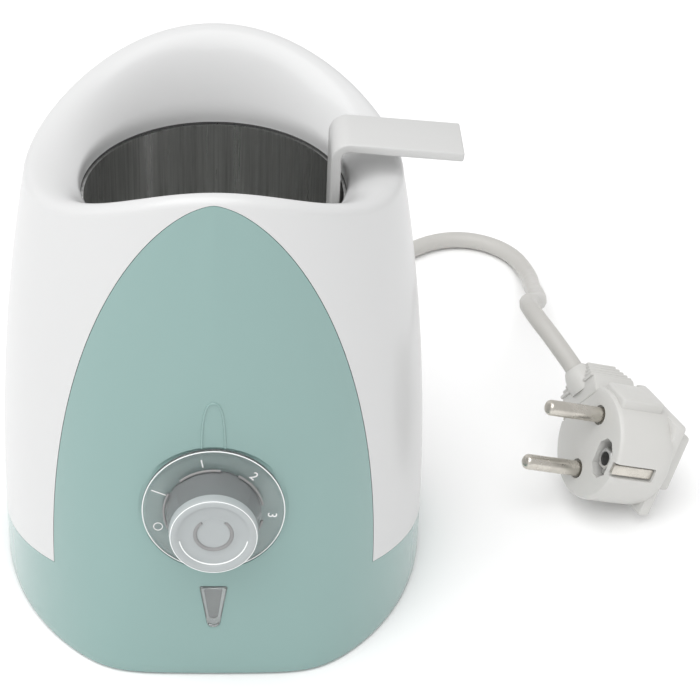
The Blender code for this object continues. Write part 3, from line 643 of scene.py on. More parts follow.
# %% [markdown]
# ## The housing's skin
# White shell and green front are cut from one smooth skin. Its plan is half an ellipse behind and a flat
# front that leans back, and its rim is a saddle, low at the sides and high in front and behind. The seam
# between the two colours runs along the arch and the skirt. The skin is one even grid, so the
# gloss runs clean across the seam, and each piece is cut out of its own copy.

# %% Housing dimensions
HOUSING_FOOT = 0.0008
WALL = 0.0020
HALF_WIDTH = 0.0624
BACK_DEPTH = 0.0556
PLAN_CENTRE_Y = 0.0054
FRONT_Y = -0.0594
FRONT_LEAN = math.radians(5)
CREST_SIDE = 0.134
CREST_FRONT = 0.1512
CREST_BACK = 0.1497
CREST_ROUND = 0.0030
OPENING_RADIUS = 0.0362
OPENING_Z = 0.129
COLLAR = 0.0040
ARCH_TOP = 0.1492
ARCH_FOOT = 0.027
ARCH_HALF_WIDTH = 0.045
SKIRT_SLOPE = 0.29
SKIRT_SIDE = 0.015
SKIRT_BACK = 0.005
ARCH_POWER = 0.6
SEAM = 0.00012
print("crest in mm:", [round(1000 * crest, 1) for crest in (CREST_SIDE, CREST_FRONT, CREST_BACK)])

# %% [markdown]
# The plan at any height mixes two curves on the front: the bulging ellipse and the flat face. A high power
# mixes them with a tight corner and a low one with a soft corner, so the corner softens towards the rim.

# %% The plan and the rim
SIDE_TAPER = 0.0115
BACK_TAPER = 0.008
TAPER_POWER = 2.2
BULGE_AT_FOOT = 1.11
BULGE_LOST = 0.08
SOFT_CORNER = 6
EXTRA_SHARPNESS = 24
BACK_CREST_POWER = 1.9
FRONT_CREST_POWER = 2.6


def outline_point(angle, height, inset=0.0):
    """The housing's plan outline at a height."""
    lean = max(height, 0) / CREST_SIDE
    half_width = HALF_WIDTH - SIDE_TAPER * lean**TAPER_POWER - inset
    centre_y = PLAN_CENTRE_Y * (1 - min(lean, 1))
    cosine = math.cos(angle)
    sine = math.sin(angle)
    if sine >= 0:
        back = PLAN_CENTRE_Y + BACK_DEPTH - BACK_TAPER * lean**TAPER_POWER - centre_y - inset
        reach = 1 / math.hypot(cosine / half_width, sine / back)
        return reach * cosine, centre_y + reach * sine
    share = min(lean, 1)
    front = centre_y - FRONT_Y - height * math.tan(FRONT_LEAN) - inset
    bulge = front * (BULGE_AT_FOOT - BULGE_LOST * share)
    power = SOFT_CORNER + EXTRA_SHARPNESS * (1 - share) ** 2
    flat = (front**-power - bulge**-power) ** (-1 / power) / max(-sine, 1e-6)
    ellipse = 1 / math.hypot(cosine / half_width, sine / bulge)
    reach = (ellipse**-power + flat**-power) ** (-1 / power)
    return reach * cosine, centre_y + reach * sine


def crest_height(angle):
    """The rim is a saddle: low at the sides and high in front and behind."""
    sine = math.sin(angle)
    if sine >= 0:
        return CREST_SIDE + (CREST_BACK - CREST_SIDE) * sine**BACK_CREST_POWER
    return CREST_SIDE + (CREST_FRONT - CREST_SIDE) * (-sine) ** FRONT_CREST_POWER


def wall_point(angle, height):
    """A point on the outside of the housing, from its foot up to its crest."""
    shoulder = crest_height(angle) - CREST_ROUND
    if height <= shoulder:
        return Vector((*outline_point(angle, height), height))
    turn = math.asin(min(1, (height - shoulder) / CREST_ROUND))
    return Vector((*outline_point(angle, shoulder, CREST_ROUND * (1 - math.cos(turn))), height))


def angle_at(x, height):
    """The angle on the front at which the wall is x to the right of the middle."""
    low = -math.pi / 2
    high = 0.0
    for _ in range(40):
        middle = (low + high) / 2
        if wall_point(middle, height).x < x:
            low = middle
        else:
            high = middle
    return (low + high) / 2


# %% [markdown]
# The skin is made of upright columns of points, one for every degree and a half or so of the plan. Each runs
# up the wall, over the rim, down the slope inside and into the collar. The front also has two soft
# ridges, so its points fall back a very little on either side of them.

# %% Skin columns
SKIN_COLUMNS = 232
WALL_ROWS = 52
SLIDE_ROWS = 14
RIDGE = [(0.0, 0.028), (0.020, 0.027), (0.045, 0.025), (0.070, 0.0196), (0.082, 0.015), (0.095, 0.009)]
RIDGE += [(0.110, 0.0014), (0.114, 0.0), (0.160, 0.0)]
RIDGE_DEPTH = 0.00026
RIDGE_SOFTNESS = 0.0012
HOLLOW_PEAK = 6.75
SHARPEST_SIDE = 0.004
CREST_STEPS = 6
COLLAR_STEPS = 5
COLLAR_BEND = 0.0016


def ridge_push(x, height):
    """How far the face falls back at a place, which is 0 between the ridges and at the seam."""
    for (low, at_low), (high, at_high) in zip(RIDGE, RIDGE[1:]):
        if low <= height <= high:
            half = at_low + (at_high - at_low) * (height - low) / (high - low)
            break
    share = max(0.0, min(1.0, (ARCH_TOP - height) / (ARCH_TOP - ARCH_FOOT)))
    edge = ARCH_HALF_WIDTH * (1 - (1 - share) ** 2) ** ARCH_POWER
    past = abs(x) - half
    past = (past + math.hypot(past, RIDGE_SOFTNESS)) / 2 - RIDGE_SOFTNESS / 12
    t = max(0.0, min(1.0, past / max(edge - half, SHARPEST_SIDE)))
    return RIDGE_DEPTH * HOLLOW_PEAK * t * (1 - t) ** 2


def skin_column(angle):
    """From the foot up to the crest, over it, down the slope and into the collar."""
    crest = crest_height(angle)
    shoulder = crest - CREST_ROUND
    column = []
    for row in range(WALL_ROWS):
        spot = wall_point(angle, HOUSING_FOOT + (shoulder - HOUSING_FOOT) * row / WALL_ROWS)
        if math.sin(angle) < 0 and spot.z > ARCH_FOOT / 2:
            spot.y += ridge_push(spot.x, spot.z)
        column.append(spot)
    for step in range(CREST_STEPS + 1):
        turn = math.pi / 2 * step / CREST_STEPS
        column.append(wall_point(angle, shoulder + CREST_ROUND * math.sin(turn)))
    top = column[-1]
    edge = Vector((OPENING_RADIUS * math.cos(angle), OPENING_RADIUS * math.sin(angle), OPENING_Z))
    for row in range(1, SLIDE_ROWS):
        share = row / SLIDE_ROWS
        flat = top.lerp(edge, share)
        column.append(Vector((flat.x, flat.y, OPENING_Z + (crest - OPENING_Z) * (1 - share**2))))
    start = column[-1]
    below = edge - Vector((0, 0, COLLAR_BEND))
    for step in range(1, COLLAR_STEPS + 1):
        share = step / COLLAR_STEPS
        column.append(start.lerp(edge, share).lerp(edge.lerp(below, share), share))
    column.append(edge - Vector((0, 0, COLLAR)))
    return column


# %% [markdown]
# The columns are joined side by side into one grid. Solidify gives it a wall towards the inside, and a
# narrow bevel eases the foot and the collar's end.


# %% The skin as one grid
def housing_skin(name):
    """The whole skin as a grid of four-sided faces, given its wall and its eased rims."""
    columns = [skin_column(2 * math.pi * step / SKIN_COLUMNS) for step in range(SKIN_COLUMNS)]
    rows = len(columns[0])
    vertices = [point for column in columns for point in column]
    faces = []
    for first in range(len(columns)):
        second = (first + 1) % len(columns)
        for row in range(rows - 1):
            a = first * rows + row
            b = second * rows + row
            faces.append((a, b, b + 1, a + 1))
    skin = mesh_piece(name, vertices, faces)
    solid = skin.modifiers.new("Solidify", "SOLIDIFY")
    solid.thickness = WALL
    solid.offset = -1
    bevel(skin, 0.0003, 2, 50)
    apply_modifiers(skin)
    return skin


# %% [markdown]
# One cutter parts the two colours: an arch whose depth follows the front wall, and below it a wedge whose
# top is the skirt's slope. The white shell loses the cutter, and the green front keeps what is inside a
# cutter that is a little smaller, so a thin seam stays open between them.


# %% Cutting and joining
def boolean(obj, other, operation, solver="EXACT"):
    """Cuts, joins or keeps with another mesh, which is used up."""
    modifier = obj.modifiers.new("Boolean", "BOOLEAN")
    modifier.object = other
    modifier.operation = operation
    modifier.solver = solver
    apply_modifiers(obj)
    bpy.data.objects.remove(other, do_unlink=True)


# %% Cutters for the seam
CUTTER_REACH = 0.1
CUTTER_FOOT = -0.01
ARCH_FOOT_IN_SKIRT = 0.012
ARCH_DEPTH = 0.0032
ARCH_STEPS = 90


def wedge(name, grow):
    """Everything below the skirt's edge."""
    turn_y = (SKIRT_SIDE - SKIRT_BACK) / SKIRT_SLOPE
    front_top = SKIRT_SIDE + CUTTER_REACH * SKIRT_SLOPE + grow
    side_view = [(-CUTTER_REACH, CUTTER_FOOT), (-CUTTER_REACH, front_top), (turn_y, SKIRT_BACK + grow)]
    side_view += [(CUTTER_REACH, SKIRT_BACK + grow), (CUTTER_REACH, CUTTER_FOOT)]
    count = len(side_view)
    vertices = [(x, y, z) for x in (-CUTTER_REACH, CUTTER_REACH) for y, z in side_view]
    faces = [tuple(range(count)), tuple(range(2 * count - 1, count - 1, -1))]
    faces += [(i, count + i, count + (i + 1) % count, (i + 1) % count) for i in range(count)]
    piece = mesh_piece(name, vertices, faces)
    face_out(piece)
    return piece


def arch(name, grow):
    """The arch's outline, from in front of the wall to just behind it."""
    outline = []
    for step in range(ARCH_STEPS + 1):
        share = (step / ARCH_STEPS) ** 2
        x = ARCH_HALF_WIDTH * (1 - (1 - share) ** 2) ** ARCH_POWER + grow
        height = ARCH_TOP + grow - share * (ARCH_TOP - ARCH_FOOT)
        outline.append((x, height, wall_point(angle_at(x, height), height).y + ARCH_DEPTH))
    outline.append((outline[-1][0], ARCH_FOOT_IN_SKIRT, outline[-1][2]))
    vertices = []
    for x, height, back in outline:
        front = -CUTTER_REACH
        vertices += [(-x, front, height), (x, front, height), (-x, back, height), (x, back, height)]
    faces = []
    for i in range(len(outline) - 1):
        a = 4 * i
        b = a + 4
        faces += [(a, a + 1, b + 1, b), (a + 2, b + 2, b + 3, a + 3)]
        faces += [(a, b, b + 2, a + 2), (a + 1, a + 3, b + 3, b + 1)]
    faces += [(0, 2, 3, 1), (b, b + 1, b + 3, b + 2)]
    piece = mesh_piece(name, vertices, faces)
    face_out(piece)
    return piece


def seam_cutter(name, grow):
    cutter = wedge(name, grow)
    boolean(cutter, arch(name + "_arch", grow), "UNION")
    return cutter


# %% [markdown]
# The white shell is what the cutter leaves of the skin. A round hole at the back lets the lead's bush
# through. The solver called Manifold takes a closed mesh of any number of faces and is quick.


# %% A drum for round holes
def drum(name, radius, bottom, top, sides=64, matrix=None):
    """A cylinder primitive from bottom to top, for cutting."""
    deselect()
    middle = (0, 0, (bottom + top) / 2)
    bpy.ops.mesh.primitive_cylinder_add(vertices=sides, radius=radius, depth=top - bottom, location=middle)
    obj = bpy.context.object
    obj.name = name
    return settle(obj, matrix)


# %% White shell
EXIT_HEIGHT = 0.016
EXIT_Y = 0.061
EXIT_RADIUS = 0.0058
shell = housing_skin("white_shell")
boolean(shell, seam_cutter("shell_cutter", SEAM), "DIFFERENCE", "MANIFOLD")
BACKWARDS = Matrix.Rotation(-math.pi / 2, 4, "X")
exit_place = Matrix.Translation((0, EXIT_Y, EXIT_HEIGHT)) @ BACKWARDS
exit_hole = drum("exit_hole", EXIT_RADIUS, -0.007, 0.007, 48, exit_place)
boolean(shell, exit_hole, "DIFFERENCE", "MANIFOLD")
smooth(shell, 35)
finish_piece(shell, "housing", white_shell_finish, ["outer_shell"])
print("white shell", len(shell.data.polygons), "faces")


# %% [markdown]
# The green front is the skirt all round the foot and the arch that rises from it. Two soft ridges climb
# from its lower corners and meet above the knob, and the face falls away a little outside them. It has a
# round recess for the knob, a hole for the knob's neck and a window for the lamp, cut out of the wall.


# %% Places on the panel
def panel_matrix(height):
    """The frame of the panel's face at a height, with Z along its outward normal."""
    place = Matrix.Translation((0, FRONT_Y + height * math.tan(FRONT_LEAN), height))
    return place @ Matrix.Rotation(math.pi / 2 - FRONT_LEAN, 4, "X")


DIAL = panel_matrix(0.0573)
LAMP = panel_matrix(0.0243)
RECESS_RADIUS = 0.02025
RECESS_DEPTH = 0.0012
NECK_RADIUS = 0.0055
print("dial centre:", [round(1000 * side, 1) for side in DIAL.translation], "mm")


# %% [markdown]
# The lamp's window, its lens and the lifter are all flat outlines with a thickness. One helper raises an
# outline into a plate, and another draws the shield shape that the lamp's pieces share.


# %% A flat outline raised to a plate
def shield_outline(half_width, half_height):
    """An upright shield: a flat top, straight sides that draw in, and a round foot."""
    foot = 0.5 * half_width
    corner = 0.0004
    outline = []
    for step in range(17):
        angle = math.pi * (step / 16 - 1)
        outline.append((foot * math.cos(angle), foot - half_height + foot * math.sin(angle)))
    outline += [(half_width, half_height - corner), (half_width - corner, half_height)]
    outline += [(corner - half_width, half_height), (-half_width, half_height - corner)]
    return outline


def plate_from(name, outline, bottom, top, matrix=None):
    """A flat outline raised from bottom to top."""
    piece = mesh_piece(name, [(x, y, bottom) for x, y in outline], [tuple(range(len(outline)))])
    activate(piece)
    bpy.ops.object.mode_set(mode="EDIT")
    bpy.ops.mesh.select_all(action="SELECT")
    bpy.ops.mesh.extrude_region_move(TRANSFORM_OT_translate={"value": (0, 0, top - bottom)})
    bpy.ops.object.mode_set(mode="OBJECT")
    face_out(piece)
    return settle(piece, matrix)


# %% [markdown]
# The front starts as a copy of the whole skin, and the seam's cutter keeps its part of it. A thicker seat
# is joined on behind the dial first, so that the recess cut next still leaves a wall.


# %% Green front
front = housing_skin("green_front")
boolean(front, seam_cutter("front_cutter", 0.0), "INTERSECT", "MANIFOLD")
seat = drum("dial_seat", RECESS_RADIUS + 0.0001, -0.0040, -0.0016, 128, matrix=DIAL)
boolean(front, seat, "UNION", "MANIFOLD")
recess = drum("dial_recess", RECESS_RADIUS, -RECESS_DEPTH, 0.006, 128, matrix=DIAL)
boolean(front, recess, "DIFFERENCE", "MANIFOLD")
boolean(front, drum("neck_hole", NECK_RADIUS, -0.01, 0.004, 48, matrix=DIAL), "DIFFERENCE", "MANIFOLD")
window = plate_from("lens_window", shield_outline(0.0039, 0.0072), -0.008, 0.008, LAMP)
boolean(front, window, "DIFFERENCE", "MANIFOLD")
smooth(front, 35)
finish_piece(front, "housing", green_finish, ["front_housing"])
print("green front", len(front.data.polygons), "faces")

# %% [markdown]
# Above the knob a pointer is embossed in the panel: a thin raised line round a narrow leaf. It is a thin
# tube laid along the leaf's outline and sunk most of the way into the face.

# %% Pointer line
POINTER_FOOT = 0.0772
POINTER_TOP = 0.0912
POINTER_HALF_WIDTH = 0.0031
LINE_RADIUS = 0.00032
leaf = []
leaf_steps = 40
for step in range(leaf_steps + 1):
    angle = math.pi * step / leaf_steps
    share = math.sin(angle) ** 0.85
    x = POINTER_HALF_WIDTH * math.copysign(abs(math.cos(angle)) ** 0.75, math.cos(angle))
    height = POINTER_FOOT + (POINTER_TOP - POINTER_FOOT) * share
    side = math.copysign(1, x)
    at = angle_at(abs(x), height)
    spot = wall_point(at, height)
    leaf.append(Vector((side * spot.x if abs(x) > 1e-6 else 0, spot.y, spot.z)))
pointer = tube("pointer_line", leaf, LINE_RADIUS, 3)
finish_piece(pointer, "housing", green_finish)
print("pointer outline has", len(leaf), "points")

# %% [markdown]
# ## The knob
# The knob is clear plastic: a thin dial disc with printed marks and a cup-shaped grip whose end is
# dished. The disc is polished and the grip is frosted. All are circles extruded and resized step by step,
# which is how a turned shape is made by hand.


# %% Turned shapes
def turned(name, profile, sides=96, matrix=None):
    """A circle extruded and resized step by step along Z through a profile of (radius, height)."""
    deselect()
    radius, height = profile[0]
    foot = (0, 0, height)
    bpy.ops.mesh.primitive_circle_add(vertices=sides, radius=radius, location=foot, fill_type="NGON")
    obj = bpy.context.object
    obj.name = name
    bpy.ops.object.mode_set(mode="EDIT")
    bpy.ops.mesh.select_all(action="SELECT")
    for new_radius, new_height in profile[1:]:
        rise = (0, 0, new_height - height)
        bpy.ops.mesh.extrude_region_move(TRANSFORM_OT_translate={"value": rise})
        share = new_radius / radius
        bpy.ops.transform.resize(value=(share, share, 1), center_override=(0, 0, new_height))
        radius, height = new_radius, new_height
    bpy.ops.object.mode_set(mode="OBJECT")
    settle(obj)
    face_out(obj)
    smooth(obj, 40)
    return settle(obj, matrix)


def hollow_ring(obj, inner_radius, bottom, top):
    """Takes the middle out of a turned piece."""
    boolean(obj, drum(obj.name + "_bore", inner_radius, bottom, top, 96), "DIFFERENCE")
    smooth(obj, 30)


# %% [markdown]
# The disc is a flat ring with a raised, rounded rim. Its profile goes from the underside out round the rim
# and back over the top, and its middle is taken out for the grip.

# %% Dial disc
disc_profile = [
    (0.0128, -0.0009),
    (0.0190, -0.0009),
    (0.01935, -0.0006),
    (0.01945, 0.0000),
    (0.0193, 0.0005),
    (0.0188, 0.0008),
    (0.0183, 0.0006),
    (0.0178, 0.0008),
    (0.0131, 0.0010),
    (0.0128, 0.0004),
]
disc = turned("dial_disc", disc_profile, 128)
hollow_ring(disc, 0.0122, -0.003, 0.003)
settle(disc, DIAL)
finish_piece(disc, "knob", clear_finish, ["temperature_knob"])
print("dial disc", len(disc.data.polygons), "faces")

# %% [markdown]
# The grip is a short open tube that narrows a little towards its end. Its wall is about a millimetre
# thick, and the frosted finish lets the dark inside show through faintly.

# %% Grip
GRIP_BORE = 0.0112
grip_profile = [(0.0125, -0.0007), (0.0129, -0.0004), (0.01285, 0.0010), (0.0127, 0.0018), (0.01205, 0.0100)]
grip = turned("knob_grip", grip_profile, 128)
hollow_ring(grip, GRIP_BORE, -0.003, 0.012)
settle(grip, DIAL)
finish_piece(grip, "knob", frosted_finish)
print("grip", len(grip.data.polygons), "faces")

# %% [markdown]
# The grip's end is dished for a fingertip. It is a turned piece of its own, a hair above the tube, because
# it catches more light than the wall and so has a lighter finish.

# %% Dished end
end_profile = [
    (GRIP_BORE, 0.01003),
    (0.01203, 0.01003),
    (0.0119, 0.0116),
    (0.0117, 0.0124),
    (0.0113, 0.0129),
    (0.0107, 0.0130),
    (0.0101, 0.0129),
    (0.0096, 0.0125),
    (0.0089, 0.0119),
    (0.0078, 0.0115),
    (0.0062, 0.0113),
    (0.0057, 0.0115),
    (0.0053, 0.0115),
    (0.0048, 0.0112),
    (0.0030, 0.0111),
    (0.0010, 0.0111),
]
knob_end = turned("knob_end", end_profile, 128)
smooth(knob_end, 30)
settle(knob_end, DIAL)
finish_piece(knob_end, "knob", end_finish)
print("dished end", len(knob_end.data.polygons), "faces")

# %% [markdown]
# Polished rims catch a bright line of light. Thin rings of a pale finish along the rims of the disc, the
# grip and the dish are a painted highlight for that line, and a broken grey ring is the mark moulded in
# the dish.


# %% Painted highlights on the rims, and the mark in the dish
def ring_on_dial(name, radius, height, thickness, material, start=0, sweep=360):
    """A thin round ring, or part of one, at a height over the panel."""
    steps = max(8, round(sweep / 5))
    closed = sweep == 360
    points = []
    for step in range(steps + (not closed)):
        angle = math.radians(start + sweep * step / steps)
        points.append(DIAL @ Vector((radius * math.cos(angle), radius * math.sin(angle), height)))
    ring = tube(name, points, thickness, 3, closed)
    finish_piece(ring, "knob", material)


# Painted highlights: pale rings along the rims of the disc, the grip and the dish.
ring_on_dial("disc_rim_highlight", 0.01925, 0.00055, 0.00016, rim_highlight_finish)
ring_on_dial("grip_rim_highlight", 0.01155, 0.01265, 0.00014, rim_highlight_finish)
ring_on_dial("dish_rim_highlight", 0.0092, 0.01225, 0.0002, rim_highlight_finish, 190, 160)
ring_on_dial("dish_mark", 0.0050, 0.01115, 0.0006, hub_finish, 130, 280)

# %% [markdown]
# Inside the grip a grey hub with thin ribs carries the knob on its spindle, and a dark ring with gaps
# shows through the disc at the grip's foot.


# %% Rounded blocks
def block(name, size, centre, width=0.0, segments=3, matrix=None):
    """A box primitive with rounded edges."""
    deselect()
    bpy.ops.mesh.primitive_cube_add(size=1, location=centre, scale=size)
    obj = bpy.context.object
    obj.name = name
    settle(obj)
    if width:
        bevel(obj, width, segments)
        apply_modifiers(obj)
        smooth(obj)
    return settle(obj, matrix)


# %% Hub, ribs and dark ring
RIB_SIZE = (0.0030, 0.0009, 0.0060)
ARC_CIRCLE = 0.0134
ARC_HEIGHT = 0.0010
ARC_RADIUS = 0.0004
hub = turned("knob_core", [(0.0074, 0.0026), (0.0078, 0.0030), (0.0076, 0.0088), (0.0070, 0.0094)], 64)
boolean(hub, drum("hub_bore", 0.0033, 0.0, 0.012, 48), "DIFFERENCE")
smooth(hub, 30)
settle(hub, DIAL)
finish_piece(hub, "knob", hub_finish, ["knob_hub"])
for number in range(4):
    turn = Matrix.Rotation(math.radians(45 + 90 * number), 4, "Z")
    rib = block(f"knob_rib_{number + 1}", RIB_SIZE, (0.0094, 0, 0.0060), 0.0002, 2, DIAL @ turn)
    finish_piece(rib, "knob", hub_finish)
for number in range(5):
    ring = []
    for step in range(9):
        angle = math.radians(72 * number + 10 + 50 * step / 8)
        ring.append((ARC_CIRCLE * math.cos(angle), ARC_CIRCLE * math.sin(angle), ARC_HEIGHT))
    arc = tube(f"dial_arc_{number + 1}", [DIAL @ Vector(point) for point in ring], ARC_RADIUS, 2)
    finish_piece(arc, "knob", hub_finish)

# %% [markdown]
# The marks on the disc are plain ones: an index line, the numbers 1 to 3 and a ring for off. Text starts
# as a font curve, so it is turned into a mesh before it is laid on the disc.

# %% Dial marks
MARK_CIRCLE = 0.0158
MARK_HEIGHT = 0.00098
DIGIT_SIZE = 0.0036
DIGIT_DEPTH = 0.00006
OFF_RADIUS = 0.0012
OFF_LINE = 0.00012


def lay_mark(obj, degrees):
    """Turns a flat mark at the origin so that it stands at an angle on the disc."""
    turn = Matrix.Rotation(math.radians(degrees), 4, "Z")
    upright = Matrix.Rotation(math.radians(-90), 4, "Z")
    settle(obj, DIAL @ turn @ Matrix.Translation((MARK_CIRCLE, 0, MARK_HEIGHT)) @ upright)
    finish_piece(obj, "knob", mark_finish)


for digit, degrees in (("1", 101), ("2", 47), ("3", -4)):
    deselect()
    bpy.ops.object.text_add(location=(0, 0, 0))
    label = bpy.context.object
    label.data.body = digit
    label.data.size = DIGIT_SIZE
    label.data.extrude = DIGIT_DEPTH
    label.data.align_x = "CENTER"
    label.data.align_y = "CENTER"
    bpy.ops.object.convert(target="MESH")
    label = bpy.context.object
    label.name = "dial_digit_" + digit
    face_out(label)
    lay_mark(label, degrees)
line = block("dial_line", (0.0003, 0.0042, 0.00012), (0, 0.0002, 0), 0.00004, 2)
lay_mark(line, 157)
deselect()
bpy.ops.mesh.primitive_torus_add(
    major_radius=OFF_RADIUS, minor_radius=OFF_LINE, major_segments=32, minor_segments=8
)
off_ring = bpy.context.object
off_ring.name = "dial_off_ring"
settle(off_ring)
smooth(off_ring)
lay_mark(off_ring, 198)
print("marks lie", 1000 * MARK_HEIGHT, "mm over the panel's recess frame")

# %% [markdown]
# ## The lamp's lens
# Below the knob sits a small shield-shaped lens. It is a clear cap with a rounded face. Under it a pale
# frame is painted light for the cap's translucent rim, and a grey plate is painted shade for the inside of
# the lamp; both show through the cap.

# %% Lens
LENS_OUTLINE = shield_outline(0.0037, 0.0070)
RIM_LIGHT_OPENING = shield_outline(0.0025, 0.0054)
LAMP_SHADE_OUTLINE = shield_outline(0.0030, 0.0060)
lens = plate_from("lens_cap", LENS_OUTLINE, -0.0029, 0.0006)
bevel(lens, 0.0006, 4, 50)
apply_modifiers(lens)
smooth(lens, 30)
settle(lens, LAMP)
finish_piece(lens, "housing", clear_finish, ["indicator_lens"])
# Painted light: a pale ring under the cap stands in for the light in its translucent rim.
lens_rim_light = plate_from("lens_rim_light", LENS_OUTLINE, -0.0034, -0.0030)
boolean(lens_rim_light, plate_from("rim_light_hole", RIM_LIGHT_OPENING, -0.006, 0.0), "DIFFERENCE")
settle(lens_rim_light, LAMP)
finish_piece(lens_rim_light, "housing", mark_finish)
# Painted shade: a grey plate under the cap stands in for the shade inside the lamp.
lamp_shade_plate = plate_from("painted_lamp_shade", LAMP_SHADE_OUTLINE, -0.0050, -0.0036)
bevel(lamp_shade_plate, 0.0003, 2, 50)
apply_modifiers(lamp_shade_plate)
smooth(lamp_shade_plate, 30)
settle(lamp_shade_plate, LAMP)
finish_piece(lamp_shade_plate, "housing", hub_finish)
print("lens, frame and reflector:", [len(piece.data.polygons) for piece in (lens, lens_rim_light, lamp_shade_plate)])

# %% [markdown]
# ## The well
# The heated well is deep-drawn from thin steel, and the drawing leaves fine upright lines on its wall. It
# is turned from one profile that runs down the inside, over the floor and up the outside.

# %% Well
WELL_RADIUS = 0.0354
WELL_WALL = 0.0008
WELL_FLOOR = 0.038
WELL_TOP = 0.1243
WELL_LIP = 0.0385
WELL_CORNER = 0.006
outside = WELL_RADIUS + WELL_WALL
floor_under = WELL_FLOOR - 0.001
well_profile = []
for step in range(7):
    angle = math.pi / 2 * step / 6
    radius = outside - WELL_CORNER + WELL_CORNER * math.sin(angle)
    well_profile.append((radius, floor_under + WELL_CORNER - WELL_CORNER * math.cos(angle)))
well_profile += [(outside, 0.080), (outside, WELL_TOP - WELL_WALL), (WELL_LIP, WELL_TOP - WELL_WALL)]
well_profile += [(WELL_LIP, WELL_TOP), (WELL_RADIUS, WELL_TOP), (WELL_RADIUS, 0.080)]
for step in range(7):
    angle = math.pi / 2 * (1 - step / 6)
    radius = WELL_RADIUS - WELL_CORNER + WELL_CORNER * math.sin(angle)
    well_profile.append((radius, WELL_FLOOR + WELL_CORNER - WELL_CORNER * math.cos(angle)))
well = turned("steel_well", well_profile, 160)
finish_piece(well, "housing", steel_finish, ["heating_well"])
print("well", len(well.data.polygons), "faces")

# %% [markdown]
# ## The lifter
# The lifter is one moulded strip: a stem that stands in the well, a bend, and a plate to hold it by. Its
# side view is an outline that is extruded to the strip's width.

# %% Lifter strip
STEM_INNER_X = 0.0312
STEM_OUTER_X = 0.0339
LIFTER_HALF_WIDTH = 0.0081
LIFTER_TOP = 0.1440
LIFTER_TIP = (0.0666, 0.1410)
PLATFORM_Z = 0.0420
BEND = 0.0050
thickness = STEM_OUTER_X - STEM_INNER_X
slope = math.atan2(LIFTER_TOP - LIFTER_TIP[1], LIFTER_TIP[0] - STEM_OUTER_X)
bend_x = STEM_INNER_X + BEND
bend_z = LIFTER_TOP - BEND
near_side = [(STEM_INNER_X, PLATFORM_Z + 0.0003)]
far_side = [(STEM_OUTER_X, PLATFORM_Z + 0.0003)]
for step in range(15):
    angle = math.pi - (math.pi / 2 + slope) * step / 14
    across = math.cos(angle)
    up = math.sin(angle)
    near_side.append((bend_x + BEND * across, bend_z + BEND * up))
    far_side.append((bend_x + (BEND - thickness) * across, bend_z + (BEND - thickness) * up))
run = LIFTER_TIP[0] - near_side[-1][0]
for side in (near_side, far_side):
    x, z = side[-1]
    side.append((x + run, z - run * math.tan(slope)))
side_view = near_side + far_side[::-1]
upright = Matrix.Rotation(math.pi / 2, 4, "X")
strip = plate_from("lifter_strip", side_view, -LIFTER_HALF_WIDTH, LIFTER_HALF_WIDTH, upright)
strip_high = max(vertex.co.x for vertex in strip.data.vertices)
print("strip reaches", round(strip_high, 4), "top", round(max(v.co.z for v in strip.data.vertices), 4))

# %% [markdown]
# The plate's end is a half round, so its two upright corner edges get a wide bevel in edit mode. Then all
# edges are eased a little, as on any moulded piece.

# %% Round end and eased edges
TIP_ROUND = 0.0070
activate(strip)
bpy.ops.object.mode_set(mode="EDIT")
bm = bmesh.from_edit_mesh(strip.data)
bpy.ops.mesh.select_all(action="DESELECT")
for edge in bm.edges:
    a, b = (vertex.co for vertex in edge.verts)
    at_tip = min(a.x, b.x) > strip_high - 0.0006
    edge.select = at_tip and abs(a.y - b.y) < 1e-6 and abs(a.z - b.z) > 0.002
bmesh.update_edit_mesh(strip.data)
bpy.ops.mesh.bevel(offset=TIP_ROUND, segments=12, affect="EDGES")
bpy.ops.object.mode_set(mode="OBJECT")
bevel(strip, 0.0006, 3, 50)
apply_modifiers(strip)
smooth(strip, 35)
finish_piece(strip, "lifter", lifter_finish, ["lift_handle"])

# %% [markdown]
# The platform that the jar stands on is a thin drilled disc. The node already has its holes, so a copy of
# its mesh is merged, its edges are eased, and the copy takes its place.

# %% Lifter platform
platform = mesh_piece("lifter_platform", [], [])
platform.data = nodes["lift_platform"].data.copy()
bm = bmesh.new()
bm.from_mesh(platform.data)
bmesh.ops.remove_doubles(bm, verts=bm.verts, dist=MERGE_DISTANCE)
bmesh.ops.dissolve_limit(bm, angle_limit=math.radians(1), verts=bm.verts, edges=bm.edges)
bm.to_mesh(platform.data)
bm.free()
bevel(platform, 0.0003, 2, 50)
apply_modifiers(platform)
smooth(platform, 30)
for polygon in platform.data.polygons:
    if abs(polygon.normal.z) > 0.999:
        polygon.use_smooth = False
finish_piece(platform, "lifter", lifter_finish, ["lift_platform"])

# %% [markdown]
# ## The plug
# The plug is an angled one with two round pins and earth contacts. Its own frame has X along the pins, Y
# towards the contact strip in view and Z from the lower pin to the upper. A turned body gets its grooves,
# pockets and pin seats cut out, and a raised pad runs along its top.

